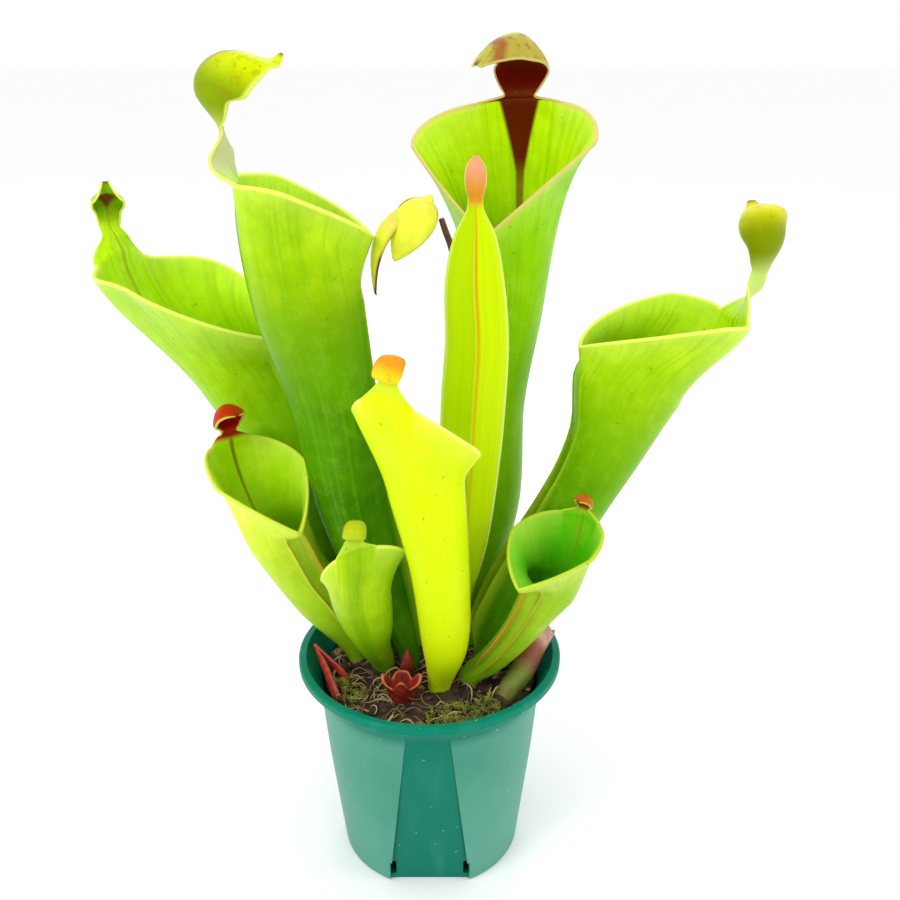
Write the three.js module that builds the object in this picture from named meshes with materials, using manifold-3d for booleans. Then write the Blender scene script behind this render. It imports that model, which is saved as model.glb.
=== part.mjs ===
// Potted sun pitcher plant: eight open pitchers, one unopened pitcher and a nodding flower bud
// in a plastic nursery pot. Millimetres, +Z up, origin at the centre of the pot's underside.
import * as THREE from 'three';
import Module from 'manifold-3d';

const wasm = await Module();
wasm.setup();

// ---------------------------------------------------------------- driving dimensions

const GAP = 0.35; // clearance between touching pieces
const HOLE_GROW = 0.6; // holes have few sides, so they are cut a little wider

const RIM_RADIUS = 50;
const RIM_TOP = 86;
const RIM_FACE = 3.4;
const RIM_INNER_RADIUS = 46.6;
const BASE_RADIUS = 35.2;
const POT_WALL = 1.8;
const POT_FLOOR = 2.2;
const POT_SIDES = 42;

const PANEL_COUNT = 3; // flat panels sunk into the pot's side
const PANEL_TOP = 76;
const PANEL_TOP_HALF_WIDTH = 7.8;
const PANEL_BASE_HALF_WIDTH = 15.7;
const PANEL_BASE_DEPTH = 5.5;
const SLIT_WIDTH = 2.2; // drainage slits at the panel's lower corners
const SLIT_BOTTOM = 2.6;
const SLIT_TOP = 10;
const SLIT_INSET = 0.6; // from the panel's side edge
const SLIT_REACH = 10; // how far the slit is cut inward from the pot's outside

const SOIL_TOP = 77;
const SOIL_EDGE_TOP = 76.2;
const SOIL_SIDES = 24;
const SOIL_BUMP = 0.9;
const HOLE_TOP = 90; // the holes in the soil are cut from well above its highest bump
const WING_START = 92; // the wings begin clear of the soil
const HOLE_SIDES = 12;
const UNOPENED_STEPS = 20;
const YOUNG_STEPS = 6;
const SCAPE_STEPS = 16;
const RHIZOME_STEPS = 10;
const STRAP_STEPS = 5;

const LEAF_WALL = 1.0;
const LIP_WALL = 1.3; // the mouth's edge is rolled and a little thicker
const TIP_WALL = 0.7;
const NECK_ANGLE = 30; // degrees of the mouth, each side, that run on up into the neck
const NECK_COLUMNS = 3;
const SIDE_COLUMNS = 5;
const WING_ANGLE = 15; // degrees from the front line to each of the two wings
const WING_FOOT = 4.5; // degrees from a wing's crest to its foot

// Ridge line of a hood from its pinch, then half widths and cup depths along it, all as
// fractions of the hood's size. A hood's twist is in degrees, evenly from the lip to the tip.
const HELMET = {
  ridge: [[-0.27, 0.45], [-0.2, 0.72], [0.05, 0.9], [0.31, 0.92], [0.69, 0.83], [0.84, 0.9]],
  halfWidth: [0.125, 0.3, 0.35, 0.33, 0.2, 0.06],
  cup: [0, 0.45, 0.66, 0.6, 0.42, 0.14, 0.03],
  droop: 28,
};
const SLIM_HELMET = {
  ...HELMET,
  halfWidth: [0.125, 0.27, 0.33, 0.3, 0.17, 0.05],
  cup: [0, 0.3, 0.4, 0.36, 0.26, 0.14, 0.03],
};
const VISOR = {
  ridge: [[-0.2, 0.45], [-0.15, 0.75], [0.08, 0.95], [0.42, 0.88], [0.68, 0.66], [0.8, 0.5]],
  halfWidth: [0.25, 0.47, 0.43, 0.36, 0.3, 0.2, 0.04],
  cup: [0, 0.15, 0.3, 0.45, 0.4, 0.25, 0.04],
  droop: 60,
};
const SPOON = {
  ridge: [[-0.29, 0.45], [-0.2, 0.72], [0.05, 0.91], [0.31, 0.95], [0.45, 1.05], [0.5, 1.25]],
  halfWidth: [0.24, 0.33, 0.4, 0.37, 0.22, 0.08],
  cup: [0, 0.35, 0.55, 0.5, 0.25, 0.04],
  droop: 20,
};
const KNOB = {
  ridge: [[-0.36, 0.3], [-0.3, 0.68], [0, 0.9], [0.4, 0.86], [0.68, 0.7]],
  halfWidth: [0.32, 0.5, 0.52, 0.45, 0.28, 0.08],
  cup: [0.1, 0.4, 0.6, 0.55, 0.3, 0.03],
  droop: 35,
  twist: [0, 0],
};

// Rows along the tube, the bell and the hood, and the row where the hollow inside begins.
const LARGE = { tube: 7, bell: 5, hood: 11, floor: 2 };
const SMALL = { tube: 6, bell: 4, hood: 8, floor: 2 };

// Each spine station is [x, y, z, half width, half depth]. neckAt and notchAt are the back and
// front of the mouth. The neck's points are [forward, up] from neckAt.
const PITCHERS = {
  pitcher_left_tall: {
    detail: LARGE,
    spine: [[-7, 3, 66, 3, 3], [-8, 3, 80, 3.5, 3.5], [-19, 10, 106, 9.5, 9],
      [-29, 11, 143, 12.5, 12.5], [-34, 9, 183, 13.5, 14.5], [-40, 5, 218, 15.5, 18]],
    neckAt: [-60, 0, 261], notchAt: [-18, 7, 242],
    mouth: { halfWidth: 28, earAt: 0.32, earRise: 4, vee: 0.4, sweep: 4, roll: -2 },
    neck: { path: [[-2.5, 5], [-4, 10], [-4, 16]], halfWidth: [9, 5.5, 4.6, 3], cup: [2, -0.5, 0.5, 0.5] },
    hood: { ...HELMET, size: 24, twist: [0, -42, 0, 0, 0, 0, 0] },
    wing: [2, 4, 3, 1.2, 0.6],
  },
  pitcher_left_far: {
    detail: LARGE,
    spine: [[-25, 14, 66, 3, 3], [-26, 15, 79, 3, 3], [-35, 24, 99, 7, 7],
      [-47, 34, 130, 11, 11], [-58, 42, 154, 13, 14], [-72, 46, 178, 15.5, 16.5]],
    neckAt: [-118, 56, 228], notchAt: [-52, 34, 199],
    mouth: { halfWidth: 29, earAt: 0.42, earRise: 1, vee: 0.3, sweep: 7, sag: 4 },
    neck: { path: [[-1, 2.5], [-2, 5], [-4, 8]], halfWidth: [7, 4.8, 3.6], cup: [2, -0.5, 0.5] },
    hood: { ...SPOON, size: 14.5, twist: [0, -50, -50, -50] },
    wing: [2, 4, 3, 2, 1],
  },
  pitcher_back: {
    detail: LARGE,
    spine: [[14, 16, 66, 3, 3], [14, 17, 80, 3, 3], [17, 26, 100, 7.5, 7.5],
      [23, 36, 131, 12, 12], [23, 42, 172, 13.5, 14], [28, 46, 207, 14.5, 15.5]],
    neckAt: [34, 68, 281.5], notchAt: [20, 20, 239],
    mouth: { halfWidth: 34, earAt: 0.45, earRise: 8, vee: 0.85, sweep: 0, roll: 3 },
    neck: { path: [[0, 0.6], [0.4, 1.2], [0.8, 2]], halfWidth: [8, 6.4, 5.6], cup: [2, 1, 0.5] },
    hood: { ...VISOR, size: 22, twist: [0, 0, 0, 0, 0, -10, -25, -40, -50, -50] },
    wing: [2, 4, 3, 2, 1],
  },
  pitcher_front: {
    detail: LARGE,
    spine: [[3, -12, 66, 3.5, 3.5], [4, -13, 79, 4, 4], [6, -17, 99, 8, 8],
      [4, -21, 134, 10, 10], [0, -22, 162, 12.5, 12.5]],
    neckAt: [-11.5, -39, 203], notchAt: [11, -5, 173],
    mouth: { halfWidth: 22, earAt: 0.5, earRise: -6, vee: 0.4, sweep: 0, drop: 0.8 },
    neck: { path: [[0, 1], [0, 2], [0, 3]], halfWidth: [6, 4, 3], cup: [1, 0.5, 1] },
    hood: { ...KNOB, size: 9 },
    wing: [1, 3, 2.5, 1.5, 1],
  },
  pitcher_lower_left: {
    detail: SMALL,
    spine: [[-28, 6, 66, 3, 3], [-29, 7, 79, 3.5, 3.5], [-41, 7, 103, 9.5, 9.5],
      [-50, 6, 118, 10, 10], [-55.5, 5, 131, 11.5, 11.5]],
    neckAt: [-74, 18.5, 164.5], notchAt: [-45, -12.5, 141],
    mouth: { halfWidth: 18.7, earAt: 0.45, earRise: 3, vee: 0.75, sweep: 2 },
    neck: { path: [[0, 1], [-1, 2], [-1, 4]], halfWidth: [6, 4, 3], cup: [1, -1, 1] },
    hood: { ...KNOB, size: 10.5 },
    wing: [2, 4, 4, 3, 1.5],
  },
  pitcher_small_front: {
    detail: SMALL,
    spine: [[-17, 1, 66, 3, 3], [-18, -0.5, 79, 4, 3.6], [-21, -6.5, 92, 6, 5],
      [-22.5, -11.5, 104, 9, 7], [-24, -14.5, 115, 10.5, 8.5]],
    neckAt: [-24.5, -28, 142.5], notchAt: [-21.5, -8, 124],
    mouth: { halfWidth: 15.2, earAt: 0.5, earRise: -2, vee: 0.4, sweep: 0, roll: -24 },
    neck: { path: [[0, 1.5], [0, 3], [0, 4]], halfWidth: [4.5, 3.2, 2.4], cup: [1, 0.8, 1] },
    hood: { ...KNOB, size: 7 },
    wing: [1, 2, 2, 1, 1],
  },
  pitcher_right_tall: {
    detail: LARGE,
    spine: [[19, 3, 66, 2.5, 2.5], [20, 3, 79, 2.5, 2.5], [35, 9, 101, 9.5, 9.5],
      [54, 16, 136, 10.5, 10.5], [67, 20, 163, 13.5, 14], [73, 22, 183, 16, 20]],
    neckAt: [111, 26, 208], notchAt: [54, 16, 201],
    mouth: { halfWidth: 23, earAt: 0.3, earRise: 6.5, vee: 0.3, sweep: 3, roll: -2 },
    neck: { path: [[-3, 6], [-6, 12], [-8, 18]], halfWidth: [8, 4.8, 3], cup: [2, -1, 0.5] },
    hood: { ...SLIM_HELMET, size: 24, twist: [0, -30, -65, -85, -90, -95, -110, -112, -105, -100] },
    wing: [2, 7, 6, 2, 0.6, 0.6],
  },
  pitcher_lower_right: {
    detail: SMALL,
    spine: [[14, -10, 66, 3, 3], [15, -10, 79, 3.5, 3.5], [23, -12, 88, 4.5, 4.5],
      [31, -14, 99, 5.5, 5.5], [38, -15, 111, 7, 7], [43, -15, 121, 9.5, 9.5]],
    neckAt: [56, -3, 144], notchAt: [31, -32, 130],
    mouth: { halfWidth: 17, earAt: 0.5, earRise: 3, vee: 0.6, sweep: 0 },
    neck: { path: [[0, 1], [0, 2], [0, 2.5]], halfWidth: [4, 3, 2], cup: [1, 0.5, 1] },
    hood: { ...KNOB, size: 6 },
    wing: [2, 4, 4, 3, 1.5],
  },
};

// Closed pieces lofted along [x, y, z, half width, half depth] stations.
const UNOPENED_PITCHER = [[9, 6, 66, 2.8, 2.8], [9, 6, 79, 3, 3], [9.5, 8.5, 97, 5, 4.2],
  [13, 8, 128, 9, 6.5], [15, 7, 161, 11, 7], [16, 5, 185, 11.5, 7.5], [17, 4, 207, 11, 7],
  [16, 3, 228, 10, 6], [16, 2, 243, 7, 4.2], [16, 1, 252, 2.8, 2], [16, 1, 255.5, 2.5, 2],
  [16, 0, 260, 3.5, 3], [16, 0, 265, 3.2, 2.8], [16, 0, 268.5, 0.9, 0.9]];
const YOUNG_PITCHER = [[-8.5, -7.5, 70, 1.6, 1.6], [-8.5, -7.5, 77, 1.8, 1.8],
  [-8.5, -8, 82, 2.6, 2], [-8.3, -8, 87, 1.8, 1.5], [-8, -8, 90, 0.5, 0.5]];
const SCAPE = [[1, 4, 66, 1.4, 1.4], [1, 4, 90, 1.4, 1.4], [2.5, 14.5, 120, 1.3, 1.3],
  [8, 18, 150, 1.3, 1.3], [12, 17, 180, 1.3, 1.3], [11.5, 15, 215, 1.2, 1.2],
  [8.5, 14, 236, 1.2, 1.2], [6.2, 13.1, 242.8, 1.1, 1.1], [4.9, 12.7, 246.8, 1, 1]];
const RHIZOME = [[-34, 9, 60, 1.5, 1.5], [-28, 8, 60.5, 4, 4.5], [-15, 4, 60.5, 4.5, 6.5],
  [0, 2, 60.5, 4.5, 8], [14, 2, 60.5, 4.5, 7], [22, 2, 60.5, 4, 4], [26, 2, 60, 1.2, 1.2]];
const STRAPS = [
  [[-31, -9, 72, 1.6, 0.6], [-33, -8, 79, 1.6, 0.6], [-39, -4, 83, 1.5, 0.6], [-44.4, 0, 87, 0.7, 0.5]],
  [[-32.5, -20, 71, 1.7, 0.6], [-34.5, -19.5, 78, 1.7, 0.6], [-40, -8, 83.4, 1.6, 0.6],
    [-44.2, 0.5, 86, 0.7, 0.5]],
];
const OLD_CUP = { at: [-10, -19.5], bottom: 72, top: 84.5, footRadius: 3.6, mouthRadius: 6.6 };
const OLD_PITCHER = {
  spine: [[25, -20, 70, 3, 3], [29, -17, 77, 4, 4], [35, -10, 82, 4.6, 4.6],
    [38.5, -4.5, 86.5, 4.8, 4.6]],
  mouth: [[41.5, 0, 90, 5.4, 4.4], [44.5, 3.5, 93, 6, 3.6]],
};

// Tepals of the flower bud: base, tip, bulge away from the chord, half width and cup depth.
const BUD_BASE = [1.2, 11.4, 253.2];
const TEPALS = [
  { tip: [-11, 6.5, 234], bulge: [0.5, -6, 3.5], halfWidth: 6.8, cup: 2.8 },
  { tip: [-17.8, 9.5, 221.8], bulge: [-7, -3.5, 6.5], halfWidth: 4.8, cup: 2.4 },
  { tip: [-11.5, 13.5, 233.5], bulge: [1, 6.5, 3], halfWidth: 7, cup: 3 },
];
const TEPAL_WALL = 0.8;

const COLOURS = {
  pot: 0x0b7a5e,
  soil: 0x2e2018,
  rhizome: 0x4a2f1c,
  leaf: 0x97cf14,
  lemonLeaf: 0xd2ec10,
  darkLeaf: 0x7ab812,
  redLeaf: 0x8e1b12,
  oldLeaf: 0x9a7a3c,
  scape: 0x5a2e20,
  bud: 0xe6e334,
};

// ---------------------------------------------------------------- small helpers

const vec = (x, y, z) => new THREE.Vector3(x, y, z);
const fromArray = (row) => vec(row[0], row[1], row[2]);
const radians = THREE.MathUtils.degToRad;
const clamp01 = (value) => THREE.MathUtils.clamp(value, 0, 1);
const smooth = (value) => THREE.MathUtils.smoothstep(value, 0, 1);
// A point reached from origin by [direction, distance] steps.
const along = (origin, ...steps) => (
  steps.reduce((sum, [direction, distance]) => sum.addScaledVector(direction, distance), origin.clone()));

// Centripetal Catmull-Rom curve through rows of numbers, t from 0 to 1 by row.
function through(rows, t) {
  const last = rows.length - 1;
  const at = clamp01(t) * last;
  const i = Math.min(Math.floor(at), last - 1);
  const f = at - i;
  const reflect = (a, b) => a.map((value, k) => 2 * value - b[k]);
  const p1 = rows[i];
  const p2 = rows[i + 1];
  const p0 = i > 0 ? rows[i - 1] : reflect(p1, p2);
  const p3 = i + 2 <= last ? rows[i + 2] : reflect(p2, p1);
  const step = (a, b) => Math.max(Math.hypot(...a.map((value, k) => value - b[k])), 1e-6) ** 0.5;
  const d1 = step(p0, p1);
  const d2 = step(p1, p2);
  const d3 = step(p2, p3);
  return p1.map((value, k) => {
    const chord = p2[k] - value;
    const m1 = d2 * ((value - p0[k]) / d1 - (p2[k] - p0[k]) / (d1 + d2) + chord / d2);
    const m2 = d2 * (chord / d2 - (p3[k] - value) / (d2 + d3) + (p3[k] - p2[k]) / d3);
    const a = m1 + m2 - 2 * chord;
    const b = 3 * chord - 2 * m1 - m2;
    return ((a * f + b) * f + m1) * f + value;
  });
}

const valueAt = (list, t) => through(list.map((value) => [value]), t)[0];

// A growing closed surface: points and triangles.
class Surface {
  constructor() {
    this.points = [];
    this.faces = [];
  }

  add(point) {
    this.points.push(point);
    return this.points.length - 1;
  }

  addRow(row) {
    return row.map((point) => this.add(point));
  }

  quad(a, b, c, d, flip = false) {
    this.faces.push(flip ? [a, c, b] : [a, b, c], flip ? [a, d, c] : [a, c, d]);
  }

  // Joins two rows of vertex numbers, column by column. Flipped, the faces look the other way
  // and are still split along the same diagonal, so that two skins keep their distance.
  bridge(lower, upper, wraps, flip = false) {
    const count = wraps ? lower.length : lower.length - 1;
    for (let i = 0; i < count; i += 1) {
      const next = (i + 1) % lower.length;
      this.quad(lower[i], lower[next], upper[next], upper[i], flip);
    }
  }

  fan(row, flip) {
    const centre = new THREE.Vector3();
    row.forEach((index) => centre.add(this.points[index]));
    const hub = this.add(centre.divideScalar(row.length));
    row.forEach((index, i) => {
      const next = row[(i + 1) % row.length];
      this.faces.push(flip ? [hub, index, next] : [hub, next, index]);
    });
  }

  volume() {
    return this.faces.reduce((sum, [a, b, c]) => {
      const cross = this.points[b].clone().cross(this.points[c]);
      return sum + this.points[a].dot(cross) / 6;
    }, 0);
  }

  toSolid() {
    const outward = this.volume() > 0 ? this.faces : this.faces.map(([a, b, c]) => [a, c, b]);
    const mesh = new wasm.Mesh({
      numProp: 3,
      vertProperties: new Float32Array(this.points.flatMap((point) => point.toArray())),
      triVerts: new Uint32Array(outward.flat()),
    });
    return new wasm.Manifold(mesh);
  }
}

function geometryOf(solid) {
  const mesh = solid.getMesh();
  const geometry = new THREE.BufferGeometry();
  geometry.setAttribute('position', new THREE.BufferAttribute(new Float32Array(mesh.vertProperties), 3));
  geometry.setIndex(new THREE.BufferAttribute(new Uint32Array(mesh.triVerts), 1));
  geometry.computeVertexNormals();
  return geometry;
}

// The outermost shell of a solid: hollows sealed inside it are filled.
const largestShell = (solid) => solid.decompose().sort((a, b) => b.volume() - a.volume())[0];

// Rings of a closed loft along [x, y, z, half width, half depth] rows. facing is the
// horizontal direction that the depth is measured along.
function loftRings(rows, facing, sides, steps, grow = 0) {
  const rings = [];
  for (let j = 0; j <= steps; j += 1) {
    const t = j / steps;
    const row = through(rows, t);
    const tangent = fromArray(through(rows, t + 0.01)).sub(fromArray(through(rows, t - 0.01))).normalize();
    const forward = along(facing, [tangent, -tangent.dot(facing)]).normalize();
    const side = tangent.clone().cross(forward);
    const ring = [];
    for (let i = 0; i < sides; i += 1) {
      const angle = (2 * Math.PI * i) / sides;
      ring.push(along(fromArray(row), [side, (row[3] + grow) * Math.sin(angle)],
        [forward, -(row[4] + grow) * Math.cos(angle)]));
    }
    rings.push(ring);
  }
  return rings;
}

function solidOfRings(rings) {
  const surface = new Surface();
  const rows = rings.map((ring) => surface.addRow(ring));
  surface.fan(rows[0], false);
  rows.slice(1).forEach((row, j) => surface.bridge(rows[j], row, true));
  surface.fan(rows[rows.length - 1], true);
  return surface.toSolid();
}

// ---------------------------------------------------------------- pitchers

// Angles round the tube in radians, from one side of the neck round the front to the other.
function columnAngles() {
  const degrees = [];
  for (let i = -NECK_COLUMNS; i <= NECK_COLUMNS; i += 1) {
    degrees.push((NECK_ANGLE * i) / NECK_COLUMNS);
  }
  const wingStart = 180 - WING_ANGLE - WING_FOOT;
  const side = [];
  for (let i = 1; i <= SIDE_COLUMNS; i += 1) {
    side.push(NECK_ANGLE + ((wingStart - NECK_ANGLE) * i) / SIDE_COLUMNS);
  }
  side.push(180 - WING_ANGLE, 180 - WING_ANGLE + WING_FOOT);
  degrees.push(...side, 180, ...side.reverse().map((angle) => 360 - angle));
  return degrees.map(radians);
}

const COLUMNS = columnAngles();
const isWing = COLUMNS.map((angle) => Math.abs(Math.abs(angle - Math.PI) - radians(WING_ANGLE)) < 1e-6);

// Directions and centre of one cross-section of a pitcher's tube.
function tubeFrame(pitcher, facing, t) {
  const row = through(pitcher.spine, t);
  const ahead = fromArray(through(pitcher.spine, t + 0.01));
  const tangent = ahead.sub(fromArray(through(pitcher.spine, t - 0.01))).normalize();
  const forward = along(facing, [tangent, -tangent.dot(facing)]).normalize();
  return { centre: fromArray(row), halfWidth: row[3], halfDepth: row[4], tangent, forward,
    side: tangent.clone().cross(forward) };
}

const mouthChord = (pitcher) => fromArray(pitcher.notchAt).sub(fromArray(pitcher.neckAt));

function facingOf(pitcher) {
  const chord = mouthChord(pitcher);
  return vec(chord.x, chord.y, 0).normalize();
}

function tubeRows(pitcher, steps, grow = 0) {
  const facing = facingOf(pitcher);
  const rows = [];
  for (let j = 0; j <= steps; j += 1) {
    const frame = tubeFrame(pitcher, facing, j / steps);
    rows.push(COLUMNS.map((angle) => along(frame.centre,
      [frame.side, (frame.halfWidth + grow) * Math.sin(angle)],
      [frame.forward, -(frame.halfDepth + grow) * Math.cos(angle)])));
  }
  return rows;
}

// The mouth's edge: a point for each column, from the neck past the ears to the front notch.
function mouthLip(pitcher) {
  const { halfWidth, earAt, earRise, vee, sweep, sag = 0, roll = 0, drop = 2 } = pitcher.mouth;
  const chord = mouthChord(pitcher);
  const forward = chord.clone().normalize();
  const level = vec(0, 0, 1).cross(facingOf(pitcher)).normalize();
  const side = level.applyAxisAngle(forward, radians(roll));
  const rise = forward.clone().cross(side);
  return COLUMNS.map((angle) => {
    const turn = angle > Math.PI ? angle - 2 * Math.PI : angle;
    const round = Math.abs(turn);
    const back = clamp01(round / (Math.PI / 2));
    const front = clamp01(round / (Math.PI / 2) - 1);
    const quarter = (Math.PI / 2) * front;
    const inBack = round < Math.PI / 2;
    const across = inBack ? Math.sin(round) : (1 - vee) * Math.cos(quarter) + vee * (1 - front);
    const advance = (1 - vee) * Math.sin(quarter) + vee * front;
    const forwardShare = inBack ? earAt * (1 - Math.cos(round)) : earAt + (1 - earAt) * advance;
    const lift = inBack ? earRise * Math.sin((Math.PI / 2) * back) ** drop : earRise * (1 - front ** 2);
    const lobe = Math.exp(-(((round - radians(40)) / 0.35) ** 2));
    return along(fromArray(pitcher.neckAt), [chord, forwardShare],
      [side, halfWidth * across * Math.sign(turn)], [rise, lift],
      [facingOf(pitcher), -sweep * lobe], [vec(0, 0, 1), -sag * lobe]);
  });
}

// The bell that opens from the last tube section to the mouth's edge.
function bellRows(pitcher, lastRow, lip, steps) {
  const facing = facingOf(pitcher);
  const frame = tubeFrame(pitcher, facing, 1);
  const chord = mouthChord(pitcher).normalize();
  const rise = chord.clone().cross(vec(0, 0, 1).cross(facing)).normalize();
  const axis = along(vec(0, 0, 0), [rise, 0.6], [frame.tangent, 0.4]).normalize();
  const rows = [];
  for (let j = 1; j <= steps; j += 1) {
    const t = j / steps;
    rows.push(COLUMNS.map((angle, i) => {
      const round = Math.abs(angle > Math.PI ? angle - 2 * Math.PI : angle);
      const inBack = round < Math.PI / 2;
      const flare = inBack ? 40 * (round / (Math.PI / 2)) : 40 - 28 * (round / (Math.PI / 2) - 1);
      const radial = along(vec(0, 0, 0), [frame.side, Math.sin(angle)], [frame.forward, -Math.cos(angle)]);
      const out = along(vec(0, 0, 0), [axis, Math.cos(radians(flare))], [radial, Math.sin(radians(flare))]);
      const reach = lip[i].distanceTo(lastRow[i]);
      const p1 = along(lastRow[i], [frame.tangent, 0.35 * reach]);
      const p2 = along(lip[i], [out, -0.3 * reach]);
      return new THREE.CubicBezierCurve3(lastRow[i], p1, p2, lip[i]).getPoint(t);
    }));
  }
  return rows;
}

// Neck and hood: rows of points that run on from the back of the mouth's edge.
function hoodRows(pitcher, lip, steps) {
  const { neck, hood } = pitcher;
  const facing = facingOf(pitcher);
  const pinch = neck.path[neck.path.length - 1];
  const ridge = [[0, 0], ...neck.path,
    ...hood.ridge.map(([f, z]) => [pinch[0] + f * hood.size, pinch[1] + z * hood.size])];
  const pinchShare = neck.path.length / (ridge.length - 1);
  const up = vec(0, 0, 1);
  const level = up.clone().cross(facing);
  const width = 2 * NECK_COLUMNS + 1;
  const rows = [];
  for (let j = 0; j <= steps; j += 1) {
    const t = j / steps;
    const [forwardBy, upBy] = through(ridge, t);
    const inNeck = t < pinchShare;
    const neckT = clamp01(t / pinchShare);
    const hoodT = clamp01((t - pinchShare) / (1 - pinchShare));
    const halfWidth = inNeck ? valueAt(neck.halfWidth, neckT) : hood.size * valueAt(hood.halfWidth, hoodT);
    const cup = inNeck ? valueAt(neck.cup, neckT) : hood.size * valueAt(hood.cup, hoodT);
    const turn = radians(valueAt(hood.twist, t));
    const turnedFacing = facing.clone().applyAxisAngle(up, turn);
    const turnedSide = level.clone().applyAxisAngle(up, turn);
    const droop = radians(hood.droop) * smooth(3 * hoodT);
    const section = along(vec(0, 0, 0), [turnedFacing, Math.cos(droop)], [up, -Math.sin(droop)]);
    const base = along(fromArray(pitcher.neckAt), [up, upBy]);
    const neckReach = inNeck ? forwardBy : pinch[0];
    base.addScaledVector(facing, neckReach).addScaledVector(turnedFacing, forwardBy - neckReach);
    const row = [];
    for (let i = 0; i < width; i += 1) {
      const phi = (Math.PI / 2) * (i / NECK_COLUMNS - 1);
      row.push(along(base, [turnedSide, Math.max(halfWidth, 0.5) * Math.sin(phi)],
        [section, cup * (1 - Math.cos(phi))]));
    }
    rows.push(row);
  }
  const offsets = rows[0].map((point, i) => lip[i].clone().sub(point));
  return rows.map((row, j) => {
    const keep = 1 - smooth(j / steps / (0.8 * pinchShare));
    return row.map((point, i) => point.addScaledVector(offsets[i], keep));
  });
}

// Unit vector out of the leaf's mid surface at every point of its rows.
function outwardNormals(rows, lipRow) {
  const width = 2 * NECK_COLUMNS + 1;
  return rows.map((row, j) => row.map((point, i) => {
    const wraps = j <= lipRow;
    const left = wraps ? row[(i + row.length - 1) % row.length] : row[Math.max(i - 1, 0)];
    const right = wraps ? row[(i + 1) % row.length] : row[Math.min(i + 1, row.length - 1)];
    const hasNext = j < rows.length - 1 && (j !== lipRow || i < width);
    const above = hasNext ? rows[j + 1][i] : point;
    const below = j > 0 ? rows[j - 1][i] : point;
    const up = above.clone().sub(below);
    return up.cross(right.clone().sub(left)).normalize();
  }));
}

// A pitcher as one closed leaf: tube, bell, neck and hood of one thickness, with two wings.
function pitcherSolid(pitcher) {
  const { tube: tubeSteps, bell: bellSteps, hood: hoodSteps, floor: floorRow } = pitcher.detail;
  const tube = tubeRows(pitcher, tubeSteps);
  const lip = mouthLip(pitcher);
  const rows = [...tube, ...bellRows(pitcher, tube[tubeSteps], lip, bellSteps)];
  const lipRow = rows.length - 1;
  const hood = hoodRows(pitcher, lip, hoodSteps).slice(1);
  rows.push(...hood);
  const normals = outwardNormals(rows, lipRow);
  const lastRow = rows.length - 1;
  const surface = new Surface();
  const wallAt = (j) => {
    if (j <= lipRow) return THREE.MathUtils.lerp(LEAF_WALL, LIP_WALL, clamp01(j - lipRow + 1));
    return THREE.MathUtils.lerp(LEAF_WALL, TIP_WALL, (j - lipRow) / (lastRow - lipRow));
  };
  const wingAt = (j) => valueAt(pitcher.wing, clamp01(j / (tubeSteps + 1)));
  const outer = rows.map((row, j) => surface.addRow(row.map((point, i) => {
    const wing = isWing[i] && point.z > WING_START && j <= tubeSteps + 1 ? wingAt(j) : 0;
    return along(point, [normals[j][i], wallAt(j) / 2 + wing]);
  })));
  const inner = rows.map((row, j) => (j < floorRow ? [] : surface.addRow(
    row.map((point, i) => along(point, [normals[j][i], -wallAt(j) / 2])))));
  const neckEnd = 2 * NECK_COLUMNS;
  surface.fan(outer[0], false);
  for (let j = 0; j < lipRow; j += 1) surface.bridge(outer[j], outer[j + 1], true);
  surface.fan(inner[floorRow], true);
  for (let j = floorRow; j < lipRow; j += 1) surface.bridge(inner[j], inner[j + 1], true, true);
  const outerFront = [...outer[lipRow].slice(neckEnd), outer[lipRow][0]];
  const innerFront = [...inner[lipRow].slice(neckEnd), inner[lipRow][0]];
  surface.bridge(outerFront, innerFront, false);
  for (let j = lipRow; j < lastRow; j += 1) {
    const neckOf = (row) => row.slice(0, neckEnd + 1);
    surface.bridge(neckOf(outer[j]), neckOf(outer[j + 1]), false);
    surface.bridge(neckOf(inner[j]), neckOf(inner[j + 1]), false, true);
    surface.quad(outer[j][neckEnd], inner[j][neckEnd], inner[j + 1][neckEnd], outer[j + 1][neckEnd]);
    surface.quad(inner[j][0], outer[j][0], outer[j + 1][0], inner[j + 1][0]);
  }
  surface.bridge(outer[lastRow], inner[lastRow], false);
  return surface.toSolid();
}

// ---------------------------------------------------------------- closed leaves and flower

const TOWARD_VIEWER = vec(0, -1, 0);

const OLD_PITCHER_FACING = vec(0.6, -0.8, 0);

const loftSolid = (rows, sides, steps) => solidOfRings(loftRings(rows, TOWARD_VIEWER, sides, steps));

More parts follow.
